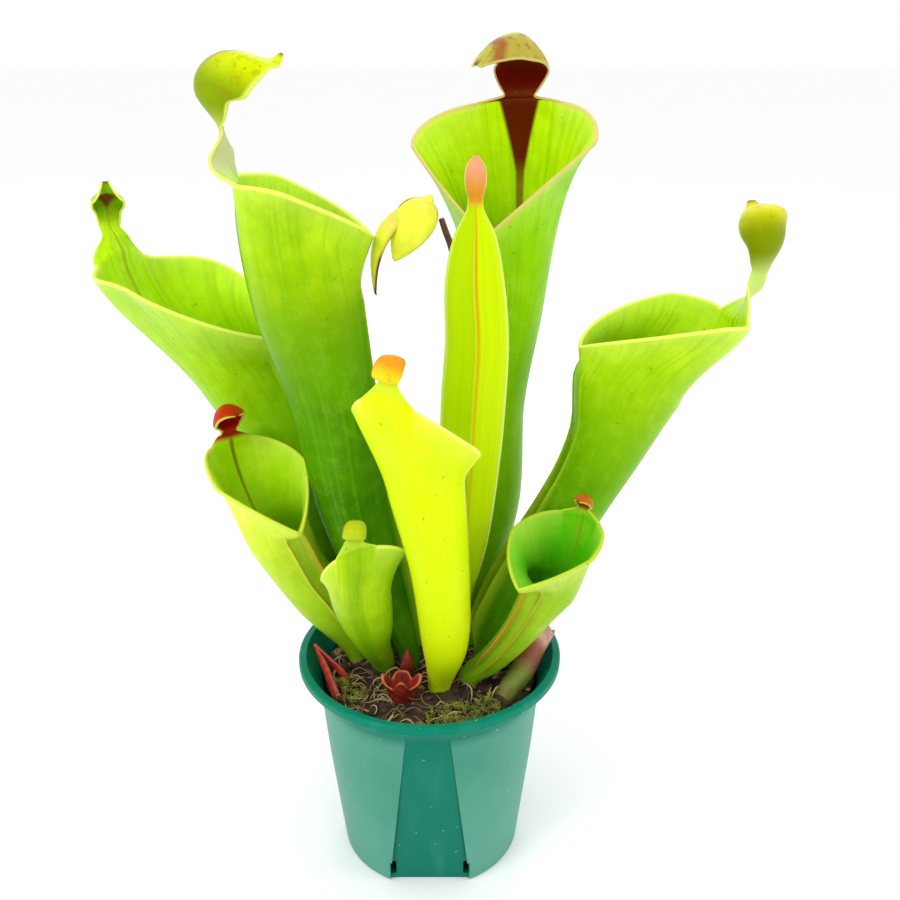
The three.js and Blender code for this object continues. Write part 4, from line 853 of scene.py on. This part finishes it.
def unopened_material():
    s = Shader("unopened_leaf")
    along, turn = s.attribute("along"), s.attribute("turn")
    front = s.maths("SUBTRACT", 1.0, s.away(turn, 0.0))
    streaks = s.streaks(turn, along, 22.0)
    colour = s.mix(s.span(streaks, 0.4, 0.7, 0, 0.5), (0.58, 0.78, 0.0), (0.44, 0.68, 0.0))
    # Painted shade: one half of the closed leaf (towards -X, its left) darker.
    colour = s.mix(s.span(turn, 0.06, -0.1, 0.0, 0.55), colour, (0.36, 0.60, 0.0))
    colour = s.mix(s.span(along, 0.05, 0.35, 0.6, 0.0), colour, (0.30, 0.52, 0.0))
    colour = s.mix(s.span(s.away(front, 0.42), 0.1, 0.02, 0.0, 0.5), colour, (0.80, 0.90, 0.18))
    midrib = s.times(s.span(front, 0.045, 0.012), s.span(along, 0.25, 0.75, 0.45, 0.95))
    colour = s.mix(midrib, colour, (0.66, 0.24, 0.0))
    blush = s.mix(s.span(along, 0.8, 0.95), (0.70, 0.28, 0.02), (0.74, 0.32, 0.18))
    blush = s.mix(s.span(s.away(front, 0.46), 0.12, 0.04, 0.0, 0.8), blush, (0.86, 0.76, 0.22))
    colour = s.mix(s.span(along, 0.68, 0.76), colour, blush)
    return s.finish(colour, 0.38, s.bump(streaks, 0.0004, 0.4), Subsurface_Weight=0.12,
                    Subsurface_Scale=0.004, Specular_IOR_Level=0.22, Specular_Tint=LEAF_GLOSS)


def plain_tissue(name, first, second, scale, roughness, bump=0.0003):
    s = Shader(name)
    grain = s.noise(scale, 4)
    colour = s.mix(s.span(grain, 0.32, 0.68), first, second)
    return s.finish(colour, roughness, s.bump(grain, bump, 0.6))


def make_lofts(name, node_name, lofts, sides, steps, material, slot, shape_ring=None):
    """One piece of one or more lofts that face the viewer."""
    shape = Shape()
    for rows in lofts:
        add_loft(shape, rows, TOWARD_VIEWER, sides, steps, shape_ring)
    made = shape.make(name, material, slot)
    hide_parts(node_name)


def make_stems():
    make_lofts("unopened_leaf", "pitcher_unopened", [UNOPENED], 72, 120, unopened_material(),
               "leaf_lemon", unopened_ring)
    red = plain_tissue("young_red", (0.16, 0.012, 0.01), (0.30, 0.04, 0.02), 300.0, 0.4)
    make_lofts("young_leaf", "young_pitcher", [YOUNG], 24, 24, red, "leaf_red")
    brown = plain_tissue("scape_skin", (0.09, 0.028, 0.016), (0.20, 0.07, 0.03), 220.0, 0.42)
    make_lofts("scape_stem", "flower_scape", [SCAPE], 20, 90, brown, "scape")
    bark = plain_tissue("rhizome_skin", (0.10, 0.05, 0.02), (0.05, 0.025, 0.012), 260.0, 0.85, 0.001)
    make_lofts("rhizome_stem", "rhizome", [RHIZOME], 24, 40, bark, "rhizome_bark")
    strap = plain_tissue("strap_red", (0.50, 0.035, 0.012), (0.28, 0.02, 0.01), 260.0, 0.4)
    make_lofts("dead_straps", "old_leaf_straps", STRAPS, 16, 30, strap, "leaf_red")


# ---------------------------------------------------------------- cut and withered leaves

CUP_AT = (-10, -19.5)
CUP_ROWS = [(72, 3.6, 0), (76, 4.2, 0), (79.5, 4.7, 0.1), (82, 5.7, 0.5), (84.5, 6.6, 1.0)]
OLD_SPINE = [(25, -20, 70, 3, 3), (29, -17, 77, 4, 4), (35, -10, 82, 4.6, 4.6),
             (38.5, -4.5, 86.5, 4.8, 4.6), (41.5, 0, 90, 5.4, 4.4), (44.5, 3.5, 93, 6, 3.6)]
OLD_FACING = np.array([0.6, -0.8, 0])
OLD_WALL = 0.9
CUP_FLOOR_SHARE, OLD_FLOOR_SHARE = 0.35, 0.4


def cup_ring(share, inset):
    """A ring of the cut cup, four-cornered, its edge ragged and curled."""
    angle = circle(72)
    z, radius, ragged = through(CUP_ROWS, share)
    reach = (radius - inset) * (1 + 0.16 * np.cos(4 * angle))
    curl = 0.5 * ragged * np.sin(7 * angle)
    height = z + ragged * (1.6 * np.cos(4 * angle) + 0.8 * np.sin(3 * angle) + curl)
    return np.stack([CUP_AT[0] + reach * np.cos(angle), CUP_AT[1] + 0.8 * reach * np.sin(angle),
                     height], axis=1)


def make_old_cup():
    shape = Shape()
    outer, inner = [], []
    for share in np.linspace(0, 1, 31):
        outer.append(shape.add(cup_ring(share, 0.0), along=share))
        if share >= CUP_FLOOR_SHARE:
            inner.append(shape.add(cup_ring(share, OLD_WALL), along=share))
    shape.vessel(outer, inner)
    shape.bridge(outer[-1], inner[-1], True)
    s = Shader("cup_red")
    grain = s.noise(240.0, 4)
    colour = s.mix(s.span(grain, 0.35, 0.65), (0.36, 0.03, 0.015), (0.18, 0.012, 0.008))
    colour = s.mix(s.span(s.attribute("along"), 0.92, 1.0, 0, 0.7), colour, (0.62, 0.16, 0.05))
    made = shape.make("cut_cup", s.finish(colour, 0.34, s.bump(grain, 0.0004, 0.6)), "leaf_red")
    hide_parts("old_pitcher_cup")


def withered_material():
    s = Shader("withered_leaf")
    along = s.attribute("along")
    grain = s.noise(160.0, 5)
    colour = s.mix(s.span(along, 0.3, 0.55), (0.14, 0.26, 0.02), (0.34, 0.09, 0.04))
    colour = s.mix(s.span(along, 0.62, 0.85), colour, (0.74, 0.46, 0.32))
    colour = s.mix(s.span(grain, 0.4, 0.65, 0, 0.6), colour, (0.20, 0.06, 0.03))
    colour = s.mix(s.span(s.attribute("inner"), 0.4, 0.9, 0, 0.5), colour, (0.14, 0.05, 0.03))
    return s.finish(colour, 0.6, s.bump(grain, 0.0008, 0.8))


def make_old_right():
    """The withered leaf whose papery mouth gapes."""
    shape = Shape()
    steps = 60
    angle = circle(48)
    outer_rings = loft_rings(OLD_SPINE, OLD_FACING, angle, steps)
    narrowed = [(x, y, z, w - OLD_WALL, d - OLD_WALL) for x, y, z, w, d in OLD_SPINE]
    inner_rings = loft_rings(narrowed, OLD_FACING, angle, steps)
    outer, inner = [], []
    for j in range(steps + 1):
        share = j / steps
        torn = smooth_step((share - 0.85) / 0.15)
        fray = torn * (0.9 * np.sin(3 * angle + 1) + 0.6 * np.sin(8 * angle) + 0.3 * np.sin(17 * angle))
        shift = fray[:, None] * np.array([0.4, 0.4, 0.6])
        outer.append(shape.add(outer_rings[j] + shift, along=share, inner=0.0))
        if share > OLD_FLOOR_SHARE:
            inner.append(shape.add(inner_rings[j] + shift, along=share, inner=1.0))
    shape.vessel(outer, inner)
    shape.bridge(outer[-1], inner[-1], True)
    made = shape.make("withered_leaf", withered_material(), "leaf_withered")
    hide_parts("old_pitcher_right")


# ---------------------------------------------------------------- flower bud

BUD_BASE = np.array([1.2, 11.4, 253.2])
TEPALS = [
    dict(tip=(-11, 6.5, 234), bulge=(0.5, -6, 3.5), half_width=6.8, cup=2.8, blush=0.0),
    dict(tip=(-17.8, 9.5, 221.8), bulge=(-7, -3.5, 6.5), half_width=4.8, cup=2.4, blush=1.0),
    dict(tip=(-11.5, 13.5, 233.5), bulge=(1, 6.5, 3), half_width=7, cup=3.0, blush=0.3),
]
TEPAL_WALL = 0.8
TEPAL_STEPS, TEPAL_COLUMNS = 40, 24


def tepal_rows(shape, tepal, offset):
    """One face of a tepal, as rows of points across it from its base to its tip."""
    end, swell = np.array(tepal["tip"], float), np.array(tepal["bulge"], float)
    middle = (BUD_BASE + end) / 2 + 2 * swell
    outward_way = unit(swell)
    across = unit(np.cross(end - BUD_BASE, outward_way))
    v = np.linspace(-1, 1, TEPAL_COLUMNS + 1)
    rows = []
    for t in np.linspace(0, 1, TEPAL_STEPS + 1):
        half = max(tepal["half_width"] * max(math.sin(math.pi * t ** 0.8), 0) ** 0.7, 0.9 - 0.4 * t)
        spine = (1 - t) ** 2 * BUD_BASE + 2 * t * (1 - t) * middle + t * t * end
        dip = offset - tepal["cup"] * half / tepal["half_width"] * (1 - np.cos(np.pi / 2 * v))
        row = spine + half * np.sin(np.pi / 2 * v)[:, None] * across + dip[:, None] * outward_way
        rows.append(shape.add(row, along=t, turn=v, blush=tepal["blush"], lip=np.abs(v) ** 10))
    return rows


def bud_material():
    s = Shader("bud_tepals")
    along, side_tepal, edge = s.attribute("along"), s.attribute("blush"), s.attribute("lip")
    grain = s.noise(120.0, 4)
    colour = s.mix(s.span(grain, 0.35, 0.7), (0.88, 0.86, 0.05), (0.72, 0.76, 0.03))
    colour = s.mix(s.span(along, 0.3, 0.0, 0.0, 0.35), colour, (0.66, 0.46, 0.12))
    blush = s.times(side_tepal, s.span(along, 0.6, 0.1, 0.0, 0.7))
    colour = s.mix(blush, colour, (0.82, 0.44, 0.20))
    claw = s.maths("MAXIMUM", s.times(edge, s.span(along, 0.6, 0.72)), s.span(along, 0.93, 0.99))
    colour = s.mix(s.times(claw, side_tepal), colour, (0.05, 0.015, 0.02))
    colour = s.mix(s.times(edge, 0.3), colour, (0.36, 0.16, 0.06))
    return s.finish(colour, 0.4, s.bump(grain, 0.0003, 0.4), Subsurface_Weight=0.1,
                    Subsurface_Scale=0.004, Specular_IOR_Level=0.25)


def make_bud():
    shape = Shape()
    for tepal in TEPALS:
        outer = tepal_rows(shape, tepal, TEPAL_WALL / 2)
        inner = tepal_rows(shape, tepal, -TEPAL_WALL / 2)
        for j in range(TEPAL_STEPS):
            shape.bridge(outer[j], outer[j + 1], False)
            shape.bridge(inner[j], inner[j + 1], False, True)
            shape.faces.append((outer[j][-1], inner[j][-1], inner[j + 1][-1], outer[j + 1][-1]))
            shape.faces.append((outer[j][0], outer[j + 1][0], inner[j + 1][0], inner[j][0]))
        shape.bridge(outer[-1], inner[-1], False)
        shape.bridge(inner[0], outer[0], False)
    x, y, z = BUD_BASE
    receptacle = [(x + 0.9, y + 0.2, z + 0.2, 0.9, 0.9), (x, y, z, 1.9, 1.9),
                  (x - 2.5, y - 0.4, z - 3.2, 2, 2), (x - 4, y - 0.6, z - 5.5, 0.8, 0.8)]
    add_loft(shape, receptacle, TOWARD_VIEWER, 20, 16)
    made = shape.make("bud", bud_material(), "bud")
    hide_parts("flower_bud")


# ---------------------------------------------------------------- pot

RIM_RADIUS, RIM_TOP, RIM_FACE, RIM_INNER_RADIUS = 50, 86, 3.4, 46.6
BASE_RADIUS, POT_WALL, POT_FLOOR = 35.2, 1.8, 2.2
PANEL_COUNT, PANEL_TOP = 3, 76
PANEL_TOP_HALF, PANEL_BASE_HALF, PANEL_BASE_DEPTH, PANEL_LOW = 7.8, 15.7, 5.5, -2
PANEL_TOP_RADIUS = 43.3
PANEL_POINTS, ROUND_POINTS = 25, 44  # across each panel, and round the wall to the next
SLIT_WIDTH, SLIT_BOTTOM, SLIT_TOP, SLIT_INSET, SLIT_REACH = 2.2, 2.6, 10, 0.6, 10
SHARP_ANGLE = 16  # degrees; edges sharper than this stay crisp
OUTSIDE_STEP, INSIDE_STEP = 2.5, 4  # the most that two levels of the pot are apart

POT_OUTSIDE = [(BASE_RADIUS - 0.6, 0), (BASE_RADIUS, 0.8), (37.8, 24), (40, 44), (41.8, 65), (43.2, 77),
               (45, 77.5), (46.6, RIM_TOP - RIM_FACE - 0.4), (RIM_RADIUS - 0.5, RIM_TOP - RIM_FACE),
               (RIM_RADIUS, RIM_TOP - RIM_FACE + 0.6), (RIM_RADIUS, RIM_TOP - 0.6),
               (RIM_RADIUS - 0.6, RIM_TOP), (RIM_INNER_RADIUS + 0.6, RIM_TOP)]
POT_INSIDE = [(RIM_INNER_RADIUS, 84.8), (45 - POT_WALL, 78), (43.2 - POT_WALL, 74), (41.8 - POT_WALL, 65),
              (40 - POT_WALL, 44), (37.8 - POT_WALL, 24), (BASE_RADIUS - POT_WALL, POT_FLOOR)]


def section(radius, z, grow):
    """One level of the pot: a round section flattened by three panels, points anticlockwise."""
    share = min((z - PANEL_LOW) / (PANEL_TOP - PANEL_LOW), 1)
    flat = (BASE_RADIUS - PANEL_BASE_DEPTH) * (1 - share) + PANEL_TOP_RADIUS * share - grow
    half = PANEL_BASE_HALF * (1 - share) + PANEL_TOP_HALF * share + grow
    sunk = z < PANEL_TOP + grow
    points = []
    for index in range(PANEL_COUNT):
        middle = -math.pi / 2 + 2 * math.pi * index / PANEL_COUNT
        edge = math.asin(min(half / radius, 0.99))
        for across in np.linspace(-half, half, PANEL_POINTS):
            depth = math.sqrt(radius ** 2 - across ** 2)
            if sunk:
                depth = min(depth, flat)
            points.append((depth * math.cos(middle) - across * math.sin(middle),
                           depth * math.sin(middle) + across * math.cos(middle), z))
        for k in range(ROUND_POINTS):
            share = (k + 0.002) / (ROUND_POINTS - 0.996)
            angle = middle + edge + (2 * math.pi / PANEL_COUNT - 2 * edge) * share
            points.append((radius * math.cos(angle), radius * math.sin(angle), z))
    return points


def profile_levels(profile, longest):
    """The profile's corners with more levels between them, none further apart than longest."""
    levels = [profile[0]]
    for (r0, z0), (r1, z1) in zip(profile, profile[1:]):
        count = max(1, math.ceil(math.hypot(r1 - r0, z1 - z0) / longest))
        levels += [(r0 + (r1 - r0) * k / count, z0 + (z1 - z0) * k / count) for k in range(1, count + 1)]
    return levels


def pot_material():
    s = Shader("pot_plastic")
    height = s.node("ShaderNodeSeparateXYZ", {"Vector": s.position()}).outputs["Z"]
    cloudy = s.noise(14.0, 5)
    grain = s.noise(700.0, 3)
    colour = s.mix(s.span(height, 0.074, 0.084), tint(2, 114, 92), tint(0, 120, 96))
    # Painted sheen: a pale haze on the round walls below the rim, standing in for the light's reflection on
    # the curved plastic.
    painted_sheen = s.times(s.attribute("wall"), s.span(height, 0.078, 0.07))
    painted_sheen = s.times(painted_sheen, s.span(cloudy, 0.25, 0.75, 0.45, 1.0))
    colour = s.mix(painted_sheen, colour, tint(92, 158, 138))
    # Painted shade: a dark line down each panel's edges, where the crease lies in shade.
    colour = s.mix(s.times(s.attribute("crease"), 0.6), colour, tint(0, 62, 50))
    fleck = s.span(s.noise(330.0, 1), 0.75, 0.77, 0, 0.5)
    colour = s.mix(fleck, colour, tint(156, 196, 182))
    drawn_out = s.node("ShaderNodeMapping", {"Vector": s.position(), "Scale": (1, 1, 0.12)}).outputs[0]
    streak = s.noise(120.0, 3, drawn_out)
    colour = s.mix(s.span(streak, 0.5, 0.8, 0, 0.3), colour, tint(60, 146, 124))
    rough = s.span(cloudy, 0.3, 0.7, 0.36, 0.52)
    return s.finish(colour, rough, s.bump(grain, 0.0001, 0.35), Specular_IOR_Level=0.2,
                    Specular_Tint=(0.25, 0.95, 0.8))


def make_pot():
    shape = Shape()
    rings = []
    for radius, z in profile_levels(POT_OUTSIDE, OUTSIDE_STEP):
        sunk = z < PANEL_TOP
        # wall is 0 on the sunk panels and 1 elsewhere; it marks where the painted sheen goes.
        flat = [1.0 - sunk] * PANEL_POINTS + [1.0] * ROUND_POINTS
        # crease marks each sunk panel's two edges for the painted shade.
        crease = [float(sunk), *[0.0] * (PANEL_POINTS - 2), float(sunk), *[0.0] * ROUND_POINTS]
        rings.append(shape.add(section(radius, z, 0), wall=flat * PANEL_COUNT, crease=crease * PANEL_COUNT))
    inside = profile_levels(POT_INSIDE, INSIDE_STEP)
    rings += [shape.add(section(radius, z, POT_WALL)) for radius, z in inside]
    shape.solid(rings)
    pot = shape.make("pot_body", pot_material(), "pot_plastic")
    cut_slits(pot)
    mark_sharp(pot.data, SHARP_ANGLE)
    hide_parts("pot")


def cut_slits(pot):
    """Cuts a drainage slit through the wall at each lower corner of a panel."""
    cutter = Shape()
    for index in range(PANEL_COUNT):
        turn = 2 * math.pi * index / PANEL_COUNT
        for sign in (-1, 1):
            outer = sign * (PANEL_BASE_HALF - SLIT_INSET)
            inner = outer - sign * SLIT_WIDTH
            rings = []
            for z in (SLIT_BOTTOM, SLIT_TOP):
                corners = [(inner, BASE_RADIUS - SLIT_REACH), (outer, BASE_RADIUS - SLIT_REACH),
                           (outer, BASE_RADIUS + 2), (inner, BASE_RADIUS + 2)]
                rings.append(cutter.add([(x * math.cos(turn) + y * math.sin(turn),
                                          x * math.sin(turn) - y * math.cos(turn), z) for x, y in corners]))
            cutter.solid(rings)
    mesh = cutter.mesh("slit_cutter")
    outward(mesh)
    tool = placed("slit_cutter", mesh)
    cut = pot.modifiers.new("slits", "BOOLEAN")
    cut.operation = "DIFFERENCE"
    cut.object = tool
    cut.solver = "EXACT"
    apply_modifiers(pot)
    bpy.data.objects.remove(tool)


def apply_modifiers(thing):
    view = bpy.context.evaluated_depsgraph_get()
    done = bpy.data.meshes.new_from_object(thing.evaluated_get(view))
    thing.modifiers.clear()
    thing.data = done


def mark_sharp(mesh, degrees):
    """Keeps edges sharper than an angle crisp under smooth shading."""
    work = bmesh.new()
    work.from_mesh(mesh)
    for edge in work.edges:
        if len(edge.link_faces) == 2 and edge.calc_face_angle(0) > math.radians(degrees):
            edge.smooth = False
    work.to_mesh(mesh)
    work.free()


# ---------------------------------------------------------------- peat, fibres and moss

SOIL_TOP, SOIL_BUMP = 77, 0.9
SOIL_RADIUS = 40.6
SOIL_SIDE = [(30, 2.6), (33, 24), (36.5, 50), (39, 70), (SOIL_RADIUS, SOIL_TOP - 1.5)]
SOIL_COLUMNS, SOIL_RINGS, SOIL_HUB = 160, 70, 0.8
PEAT_GRAIN, PEAT_ROUGH = 0.35, 0.9  # how close and how high the peat's bumps are
PEAT_LIMIT = 40.0
CRUMBS, CRUMB_LEVELS = 900, (-0.8, -0.3, 0.3, 0.8)
FIBRES, FIBRE_STEPS = 260, 8
FIBRE_LIMIT, FIBRES_HALVED_FROM = 38.5, 12  # half as many fibres lie further back than this
# Patches of moss: x, y, radius and number of shoots.
MOSS_PATCHES = [(12, -31, 7.5, 120), (21, -27, 5, 60), (4, -33, 5, 50), (-27, -19, 5, 60), (-31, -12, 4, 30),
                (28, 18, 7, 60), (-14, 30, 8, 70)]
MOSS_LIMIT = 39.5


def soil_height(x, y):
    broad = math.sin(0.31 * x + 1.2) * math.cos(0.27 * y)
    fine = 0.5 * math.sin(0.7 * x + 0.5 * y)
    return SOIL_TOP + SOIL_BUMP * (broad + fine)


def peat_height(x, y):
    rough = noise.fractal(Vector((x * PEAT_GRAIN, y * PEAT_GRAIN, 0)), 0.7, 2.1, 5)
    return soil_height(x, y) + PEAT_ROUGH * rough


def make_soil():
    shape = Shape()
    angle = circle(SOIL_COLUMNS)
    kept = [shape.add([(r * math.cos(a), r * math.sin(a), z) for a in angle]) for r, z in SOIL_SIDE]
    for r in np.linspace(SOIL_RADIUS, SOIL_HUB, SOIL_RINGS):
        kept.append(shape.add([(r * math.cos(a), r * math.sin(a),
                                peat_height(r * math.cos(a), r * math.sin(a))) for a in angle]))
    shape.solid(kept)
    s = Shader("peat")
    coarse, fine = s.noise(150.0, 6), s.noise(700.0, 4)
    colour = s.mix(s.span(coarse, 0.35, 0.65), (0.010, 0.006, 0.004), (0.05, 0.026, 0.013))
    colour = s.mix(s.span(fine, 0.6, 0.75, 0, 0.5), colour, (0.14, 0.085, 0.045))
    made = shape.make("peat_bed", s.finish(colour, 0.9, s.bump(coarse, 0.002)), "peat")
    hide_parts("soil")


def scatter(draw, count, limit):
    """Seeded places over the peat, evenly by area."""
    for _ in range(count):
        radius = limit * math.sqrt(draw.random())
        angle = draw.uniform(0, 2 * math.pi)
        yield radius * math.cos(angle), radius * math.sin(angle)


def crumb_ring(draw, level, turn, stretch):
    """A rough six-cornered ring round a crumb, in shares of its size."""
    reach = math.sqrt(1 - level ** 2)
    ring = []
    for k in range(6):
        a = turn + k * math.pi / 3
        wobble = 1 + draw.uniform(-0.25, 0.25)
        x = reach * wobble * math.cos(a) * stretch[0]
        y = reach * wobble * math.sin(a) * stretch[1]
        ring.append((x * math.cos(turn) - y * math.sin(turn), x * math.sin(turn) + y * math.cos(turn),
                     level * stretch[2]))
    return np.array(ring)


def make_crumbs():
    """Crumbs and flakes of bark and peat."""
    draw = random.Random(11)
    shape = Shape()
    for x, y in scatter(draw, CRUMBS, PEAT_LIMIT):
        size = draw.uniform(0.4, 1.5)
        stretch = (draw.uniform(0.8, 1.9), draw.uniform(0.6, 1.2), draw.uniform(0.35, 0.8))
        turn = draw.uniform(0, math.pi)
        at = np.array((x, y, peat_height(x, y) + 0.15 * size))
        tone = draw.random()
        shape.solid([shape.add(at + size * crumb_ring(draw, level, turn, stretch), tone=tone)
                     for level in CRUMB_LEVELS])
    s = Shader("peat_crumbs")
    tone, grain = s.attribute("tone"), s.noise(900.0, 3)
    colour = s.mix(s.span(tone, 0.0, 0.8), (0.014, 0.008, 0.005), (0.085, 0.04, 0.018))
    colour = s.mix(s.span(tone, 0.86, 0.98), colour, (0.34, 0.21, 0.10))
    colour = s.mix(s.span(grain, 0.45, 0.7, 0, 0.4), colour, (0.02, 0.012, 0.008))
    shape.make("peat_crumbs", s.finish(colour, 0.85, s.bump(grain, 0.0006)), "peat", smooth=False)


def add_strand(shape, points, radius, tone, sides=5):
    """A thin closed tube through points, thinner at its ends."""
    points = np.array(points, float)
    angle = circle(sides)[:, None]
    rows = []
    for j, point in enumerate(points):
        way = unit(points[min(j + 1, len(points) - 1)] - points[max(j - 1, 0)])
        first = unit(np.cross(way, UP + 0.01))
        second = np.cross(way, first)
        share = j / (len(points) - 1)
        here = radius * (0.35 + 0.65 * math.sin(math.pi * min(max(share, 0.02), 0.98)) ** 0.5)
        rows.append(shape.add(point + here * (np.cos(angle) * first + np.sin(angle) * second), tone=tone))
    shape.solid(rows)


def make_fibres():
    """Pale straw-coloured strands of dead moss and root, curled over the peat."""
    draw = random.Random(23)
    shape = Shape()
    for x, y in scatter(draw, FIBRES, FIBRE_LIMIT):
        if y > FIBRES_HALVED_FROM and draw.random() < 0.5:
            continue
        length = draw.uniform(4, 13)
        heading = draw.uniform(0, 2 * math.pi)
        curl = draw.uniform(-0.45, 0.45)
        arch = draw.uniform(0.4, 2.6)
        points = []
        for k in range(FIBRE_STEPS + 1):
            lift = 0.35 + arch * math.sin(math.pi * k / FIBRE_STEPS)
            points.append((x, y, peat_height(x, y) + lift))
            heading += curl + draw.uniform(-0.25, 0.25)
            next_x = x + length / FIBRE_STEPS * math.cos(heading)
            next_y = y + length / FIBRE_STEPS * math.sin(heading)
            if math.hypot(next_x, next_y) < PEAT_LIMIT:
                x, y = next_x, next_y
        add_strand(shape, points, draw.uniform(0.16, 0.34), draw.random())
    s = Shader("straw_fibres")
    tone = s.attribute("tone")
    grain = s.noise(500.0, 3)
    colour = s.mix(s.span(tone, 0.1, 0.9), (0.16, 0.085, 0.03), (0.60, 0.43, 0.20))
    colour = s.mix(s.span(grain, 0.4, 0.7, 0, 0.4), colour, (0.22, 0.12, 0.05))
    shape.make("straw_fibres", s.finish(colour, 0.7, s.bump(grain, 0.0003)), "peat")


def add_shoot(shape, draw, x, y):
    """One leaning shoot of moss with five short leaves."""
    z = peat_height(x, y)
    lean_x, lean_y, tall = draw.uniform(-0.9, 0.9), draw.uniform(-0.9, 0.9), draw.uniform(1.2, 2.8)
    tone = draw.random()
    stem = [(x + lean_x * t * t, y + lean_y * t * t, z - 0.3 + tall * t) for t in (0, 0.35, 0.7, 1)]
    add_strand(shape, stem, 0.22, tone, 4)
    for k in range(5):
        t = 0.35 + 0.15 * k
        foot = np.array((x + lean_x * t * t, y + lean_y * t * t, z - 0.3 + tall * t))
        angle = 2.4 * k + draw.uniform(-0.3, 0.3)
        tip = foot + np.array((0.9 * math.cos(angle), 0.9 * math.sin(angle), 0.45))
        add_strand(shape, [foot, (foot + tip) / 2 + UP * 0.15, tip], 0.2, tone, 4)


def make_moss():
    draw = random.Random(37)
    shape = Shape()
    for cx, cy, radius, count in MOSS_PATCHES:
        for _ in range(count):
            r, a = radius * math.sqrt(draw.random()), draw.uniform(0, 2 * math.pi)
            x, y = cx + r * math.cos(a), cy + r * math.sin(a)
            if math.hypot(x, y) <= MOSS_LIMIT:
                add_shoot(shape, draw, x, y)
    s = Shader("moss")
    colour = s.mix(s.span(s.attribute("tone"), 0.05, 0.95), (0.10, 0.13, 0.012), (0.36, 0.38, 0.04))
    colour = s.mix(s.span(s.noise(400.0, 3), 0.45, 0.7, 0, 0.5), colour, (0.20, 0.15, 0.03))
    shape.make("moss", s.finish(colour, 0.75), "peat")


# ---------------------------------------------------------------- floor

FLOOR_REACH = 12.0  # metres


def make_floor():
    mesh = bpy.data.meshes.new("floor")
    corners = [(FLOOR_REACH * x, FLOOR_REACH * y, 0) for x, y in ((-1, -1), (1, -1), (1, 1), (-1, 1))]
    mesh.from_pydata(corners, [], [(0, 1, 2, 3)])
    s = Shader("floor")
    colour = s.mix(s.noise(3.0), (0.97, 0.972, 0.975), (0.985, 0.987, 0.99))
    mesh.materials.append(s.finish(colour, 0.9, Specular_IOR_Level=0.1))
    floor = placed("floor", mesh)


bpy.context.scene.view_settings.view_transform = "Standard"
make_camera()
make_world()
for lamp_name, lamp_at, lamp_size, lamp_power in LAMPS:
    make_area(lamp_name, lamp_at, lamp_size, lamp_power)
make_floor()
make_pot()
make_soil()
make_crumbs()
make_fibres()
make_moss()
for node_name in PITCHERS:
    make_pitcher(node_name, leaf_material(node_name + "_skin", LOOKS[node_name]),
                 SLOTS.get(node_name, "leaf_green"))
make_stems()
make_old_cup()
make_old_right()
make_bud()
